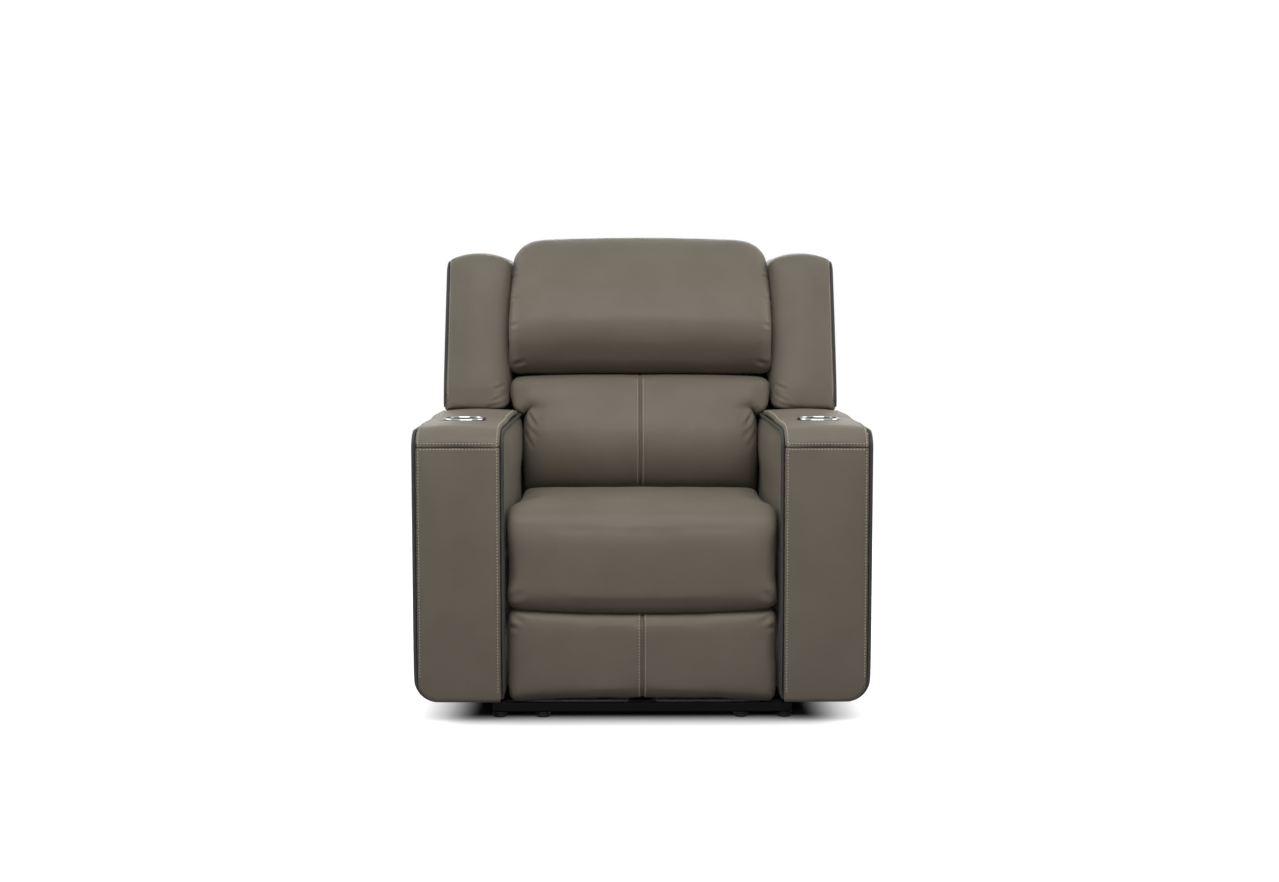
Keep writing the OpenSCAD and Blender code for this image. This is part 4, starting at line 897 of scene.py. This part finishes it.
front_folds("head_cushion", [
    (0.330, 0.984, 0.312, 0.988, 0.0045, 0.0036), (0.330, 0.928, 0.308, 0.931, 0.0045, 0.0040),
    (0.326, 0.862, 0.306, 0.867, 0.0050, 0.0022), (0.322, 0.766, 0.292, 0.776, 0.0060, 0.0026)])
front_folds("lumbar_cushion", [
    (0.291, 0.655, 0.262, 0.615, 0.0048, 0.0036), (0.289, 0.628, 0.258, 0.588, 0.0048, 0.0032),
    (0.288, 0.600, 0.268, 0.560, 0.0048, 0.0024), (0.292, 0.640, 0.248, 0.628, 0.0045, 0.0022)])
front_folds("footrest_cushion", [
    (0.288, 0.232, 0.258, 0.214, 0.006, 0.0024), (0.292, 0.205, 0.270, 0.202, 0.005, 0.0018)])
front_folds("seat_cushion", [
    (0.290, 0.268, 0.262, 0.286, 0.008, 0.0026)])
for side in ("left", "right"):
    front_folds(f"wing_cushion_{side}", [
        (0.340, 0.692, 0.372, 0.672, 0.0038, 0.0034), (0.341, 0.716, 0.366, 0.704, 0.0038, 0.0026),
        (0.352, 0.668, 0.384, 0.662, 0.0036, 0.0022)])

# %% [markdown]
# The arms are plywood boxes in padded covers. Their covers are thinner than the cushions, so they
# are only softened: remeshed and smoothed at the edges. The padding on top lies thickest round the
# cup holder, so the arm's top is a low arch, the inner side swells above the seat, the front's foot
# hangs over the box, and the front and top covers meet in their cross seam. The piping gets the same
# arch and foot, so that it stays on the edge.

# %% Arm covers
ARM_VOXEL = 0.006
ARM_MIDDLE = 0.4
FRONT_WIDER = 1.016
SEAM_CLOSED = 0.0018


def arm_arch(co):
    """Lowers the front of the arm's top and raises it behind the cup holder, and lowers its foot."""
    y, z = co[:, 1], co[:, 2].copy()
    rise = 0.0055 * ease(y, -0.25, -0.14) * ease(-y, -0.10, -0.03) - 0.006 * ease(-y, 0.37, 0.47)
    co[:, 2] += rise * ease(z, 0.612, 0.648) - 0.011 * ease(-z, -0.160, -0.080)


arm_covers = {}
for side, sign in (("left", -1), ("right", 1)):
    for cover in ("top", "front", "outer", "inner"):
        node_name = f"arm_{cover}_cover_{side}"
        finish = side_leather if cover == "inner" else leather
        piece = even_copy(f"arm_{cover}_hide_{side}", node_name, ARM_VOXEL, 3)
        co = points_of(piece.data)[0]
        if cover in ("top", "front"):
            co[:, 0] = sign * ARM_MIDDLE + (co[:, 0] - sign * ARM_MIDDLE) * FRONT_WIDER
        if cover == "front":
            z = co[:, 2].copy()
            co[:, 2] += SEAM_CLOSED * ease(z, 0.570, 0.598) - 0.009 * ease(-z, -0.160, -0.080)
        if cover == "top":
            co[:, 2] -= SEAM_CLOSED * ease(-co[:, 2], -0.636, -0.614)
        if cover == "inner":
            co[:, 0] -= sign * 0.006 * ease(co[:, 2], 0.49, 0.56) * ease(-co[:, 2], -0.645, -0.59) \
                * ease(co[:, 1], -0.42, -0.30)
        arm_arch(co)
        move_points(piece.data, co)
        arm_covers[node_name] = fit_out(piece, node_name, finish)
print("arm covers", {k: len(v.data.vertices) for k, v in arm_covers.items()})

# %% [markdown]
# The outside back is one large panel of hide over thin padding, with a narrower panel on each side.
# They are softened as the arms are, and the large panel has the slow waves of a hide stretched over
# a frame, which die out where it is fastened.

# %% Outside back
BACK_VOXEL, SIDE_VOXEL = 0.0075, 0.004
HIDE_WAVE = 0.0016
back_hides = {}
for node_name in ("back_rear_cover", "back_side_cover_left", "back_side_cover_right"):
    large = node_name == "back_rear_cover"
    piece = even_copy(node_name.replace("cover", "hide"), node_name, BACK_VOXEL if large else SIDE_VOXEL, 3)
    if large:
        co, no = points_of(piece.data)
        x, z = co[:, 0], co[:, 2]
        wave = np.sin(x * 7.0 + 0.6) * np.sin(z * 9.0) + 0.5 * np.sin(x * 17.0 + z * 11.0)
        inside = ease(0.47 - np.abs(x), 0.0, 0.12) * ease(z, 0.40, 0.50) * ease(-z, -0.97, -0.88)
        move_points(piece.data, co + no * (HIDE_WAVE * wave * inside)[:, None])
    back_hides[node_name] = fit_out(piece, node_name, side_leather)
print("back", {k: len(v.data.vertices) for k, v in back_hides.items()})

# %% [markdown]
# Below the outside back hangs a strip of backing cloth, which hides the drive and ripples a little
# towards its free edge. It is a flat grid that takes the place and lean of its solid, and Solidify
# gives it its thickness.

# %% Skirt
SKIRT_T = 0.0012
SKIRT_INSET = 0.002
RIPPLE = 0.0012
low, high = (np.array(corner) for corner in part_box("back_skirt"))
rise = high[2] - low[2]
lean = (high[1] - low[1] - 2 * SKIRT_INSET) / rise
bm = bmesh.new()
bmesh.ops.create_grid(bm, x_segments=90, y_segments=18, size=0.5)
for vert in bm.verts:
    across, up = vert.co.x, vert.co.y + 0.5
    ripple = RIPPLE * math.sin(across * 46.0) * (1 - up) ** 1.5
    back = low[1] + SKIRT_INSET + up * rise * lean + ripple
    vert.co = (across * (high[0] - low[0]), back, low[2] + up * rise)
bmesh.ops.recalc_face_normals(bm, faces=bm.faces)
mesh = bpy.data.meshes.new("skirt_cloth")
bm.to_mesh(mesh)
bm.free()
skirt = link(bpy.data.objects.new("skirt_cloth", mesh))
wall = skirt.modifiers.new("cloth_thickness", "SOLIDIFY")
wall.thickness = SKIRT_T
wall.offset = 0.0
apply_modifiers(skirt)
fit_out(skirt, "back_skirt", cloth)
print("skirt", len(skirt.data.vertices), "points")

# %% [markdown]
# Piping is a cord in a folded strip of darker hide. The solid is a tube of few sides along the
# seam, so a subdivision surface over its merged mesh gives the round cord.


# %% Piping
CORD_FULLER = 0.0006
WING_CORD_LOWER, WING_CORD_INWARDS = 0.007, 0.0035


def round_cord(name, node_name):
    piece = link(bpy.data.objects.new(name, form_mesh(node_name)))
    co = points_of(piece.data)[0]
    if node_name == "wing_piping":
        top = ease(co[:, 2], 0.985, 1.050)
        wing_drop(co)
        co[:, 2] -= WING_CORD_LOWER * top
        co[:, 0] -= np.sign(co[:, 0]) * WING_CORD_INWARDS * top
    else:
        arm_arch(co)
    move_points(piece.data, co)
    fuller = piece.modifiers.new("fuller", "DISPLACE")
    fuller.strength = CORD_FULLER
    fuller.mid_level = 0.0
    piece.modifiers.new("round", "SUBSURF").levels = 2
    apply_modifiers(piece)
    return fit_out(piece, node_name, piping_leather)


for node_name in ("arm_piping_left", "arm_piping_right", "wing_piping"):
    cord_piece = round_cord(node_name.replace("piping", "cord"), node_name)
    print(cord_piece.name, len(cord_piece.data.vertices), "points")

# %% [markdown]
# Topstitching is a row of short thread capsules, each sunk a little into the hide at both ends. One
# capsule is made and stamped along the row. The row is walked in even steps, and each stitch is
# turned along the row and away from the skin.

# %% Stitches
STITCH = 0.0046
PITCH = 0.0070
THREAD_R = 0.0010


def stitch_form():
    """One stitch along X, lying on XY, as a small mesh to be stamped."""
    made = bmesh.new()
    bmesh.ops.create_uvsphere(made, u_segments=6, v_segments=4, radius=1.0)
    bmesh.ops.rotate(made, verts=made.verts, matrix=Matrix.Rotation(math.pi / 2, 3, "Y"))
    bmesh.ops.scale(made, verts=made.verts, vec=(STITCH / 2, THREAD_R * 1.25, THREAD_R))
    for vert in made.verts:
        vert.co.z -= 0.25 * THREAD_R * (2 * vert.co.x / STITCH) ** 2
    mesh = bpy.data.meshes.new("stitch")
    made.to_mesh(mesh)
    made.free()
    return mesh


one_stitch = stitch_form()
print("one stitch has", len(one_stitch.polygons), "faces")


def walk(points, step):
    """Points at even steps along a path, with the direction there."""
    points = [Vector(p) for p in points]
    done, out = step / 2, []
    for a, b in zip(points, points[1:]):
        length = (b - a).length
        while done <= length and length > 1e-9:
            out.append((a.lerp(b, done / length), (b - a) / length))
            done += step
        done -= length
    return out


def sew(name, rows, body):
    """A piece of thread: rows of stitches, each row a list of (place, outward normal)."""
    made = bmesh.new()
    for row in rows:
        path = [p for p, _ in row]
        tree_normals = BVHTree.FromPolygons(
            [tuple(p) for p, _ in row] + [tuple(p + n * 1e-4) for p, n in row],
            [(i, i + 1, len(row) + i + 1, len(row) + i) for i in range(len(row) - 1)])
        for place, along in walk(path, PITCH):
            nearest = tree_normals.find_nearest(place)[2]
            away = row[nearest or 0][1]
            across = away.cross(along).normalized()
            up = along.cross(across).normalized()
            turn = Matrix((along, across, up)).transposed().to_4x4()
            stamp = one_stitch.copy()
            stamp.transform(Matrix.Translation(place + up * THREAD_R * 0.45) @ turn)
            made.from_mesh(stamp)
            bpy.data.meshes.remove(stamp)
    mesh = bpy.data.meshes.new(name)
    made.to_mesh(mesh)
    made.free()
    piece = link(bpy.data.objects.new(name, mesh))
    for face in mesh.polygons:
        face.use_smooth = True
    mesh.materials.append(thread)
    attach(piece, body)
    print(name, len(mesh.polygons) // len(one_stitch.polygons), "stitches")


def row_on(tree, eyes):
    """Skin points seen from each eye: (from, direction) pairs."""
    row = []
    for eye, way in eyes:
        place, normal, _, _ = tree.ray_cast(Vector(eye), Vector(way))
        if place is not None:
            row.append((place, normal if normal.dot(Vector(way)) < 0 else -normal))
    return row


def steps(a, b, count):
    return [a + (b - a) * i / (count - 1) for i in range(count)]


def eyes_at(xs, zs, way=1):
    """Eyes at each X and Z, in front of the seat for way 1 and behind it for way -1."""
    return [((x, -way * EYE_AWAY, z), (0, way, 0)) for x in xs for z in zs]


# %% [markdown]
# The rows: one on each side of the middle seams, one beside the piping on both edges of each arm's
# front and top, one above and one below the arm's cross seam, and one inside the wings' piping.

# %% Rows of stitches
SEAM_SIDE = 0.0068
# X from the seat's middle and lowest Z of the two upright rows on an arm's front
ARM_ROWS = ((0.3150, 0.066), (0.4850, 0.100))
ARM_ACROSS = (0.3145, 0.4855)
ARM_EDGE = (-0.425, 0.592)
EYE_NEAR, EYE_ABOVE = 0.3, 0.9
WING_ROW = 0.4835

for node_name, low, high in (("lumbar_cushion", 0.470, 0.731), ("footrest_cushion", 0.052, 0.236)):
    tree = surface_tree(pads[node_name].data)
    rows = [row_on(tree, eyes_at([x], steps(low, high, 60))) for x in (-SEAM_SIDE, SEAM_SIDE)]
    sew(node_name.split("_")[0] + "_seam_thread", rows, BODY_OF[node_name])

for side, sign in (("left", -1), ("right", 1)):
    front = surface_tree(arm_covers[f"arm_front_cover_{side}"].data)
    band = surface_tree(arm_covers[f"arm_top_cover_{side}"].data)
    rows = []
    for x, low in ARM_ROWS:
        rows.append(row_on(front, eyes_at([sign * x], steps(low, 0.596, 80))))
        eyes = eyes_at([sign * x], steps(0.613, 0.622, 4))
        for angle in steps(math.radians(165), math.radians(95), 24):
            way = Vector((0, -math.cos(angle), -math.sin(angle)))
            eyes.append((Vector((sign * x, *ARM_EDGE)) - way * EYE_NEAR, way))
        eyes += [((sign * x, y, EYE_ABOVE), (0, 0, -1)) for y in steps(-0.420, 0.165, 80)]
        rows.append(row_on(band, eyes))
    across = [sign * x for x in steps(*ARM_ACROSS, 30)]
    rows.append(row_on(front, eyes_at(across, [0.5995])))
    rows.append(row_on(band, eyes_at(across, [0.6125])))
    sew(f"arm_thread_{side}", rows, "base")

for side, sign in (("left", -1), ("right", 1)):
    tree = surface_tree(pads[f"wing_cushion_{side}"].data)
    rows = [row_on(tree, eyes_at([sign * WING_ROW], steps(0.680, 1.030, 80)))]
    sew(f"wing_thread_{side}", rows, "back")

# %% [markdown]
# The outside back's large panel is sewn down all round, with two upright rows and two level ones.

# %% Rows on the outside back
rear_tree = surface_tree(back_hides["back_rear_cover"].data)
rear_rows = [row_on(rear_tree, eyes_at([x], steps(0.392, 0.978, 90), -1)) for x in (-0.478, 0.478)]
rear_rows += [row_on(rear_tree, eyes_at(steps(-0.476, 0.476, 90), [z], -1)) for z in (0.391, 0.979)]
sew("rear_thread", rear_rows, "back")
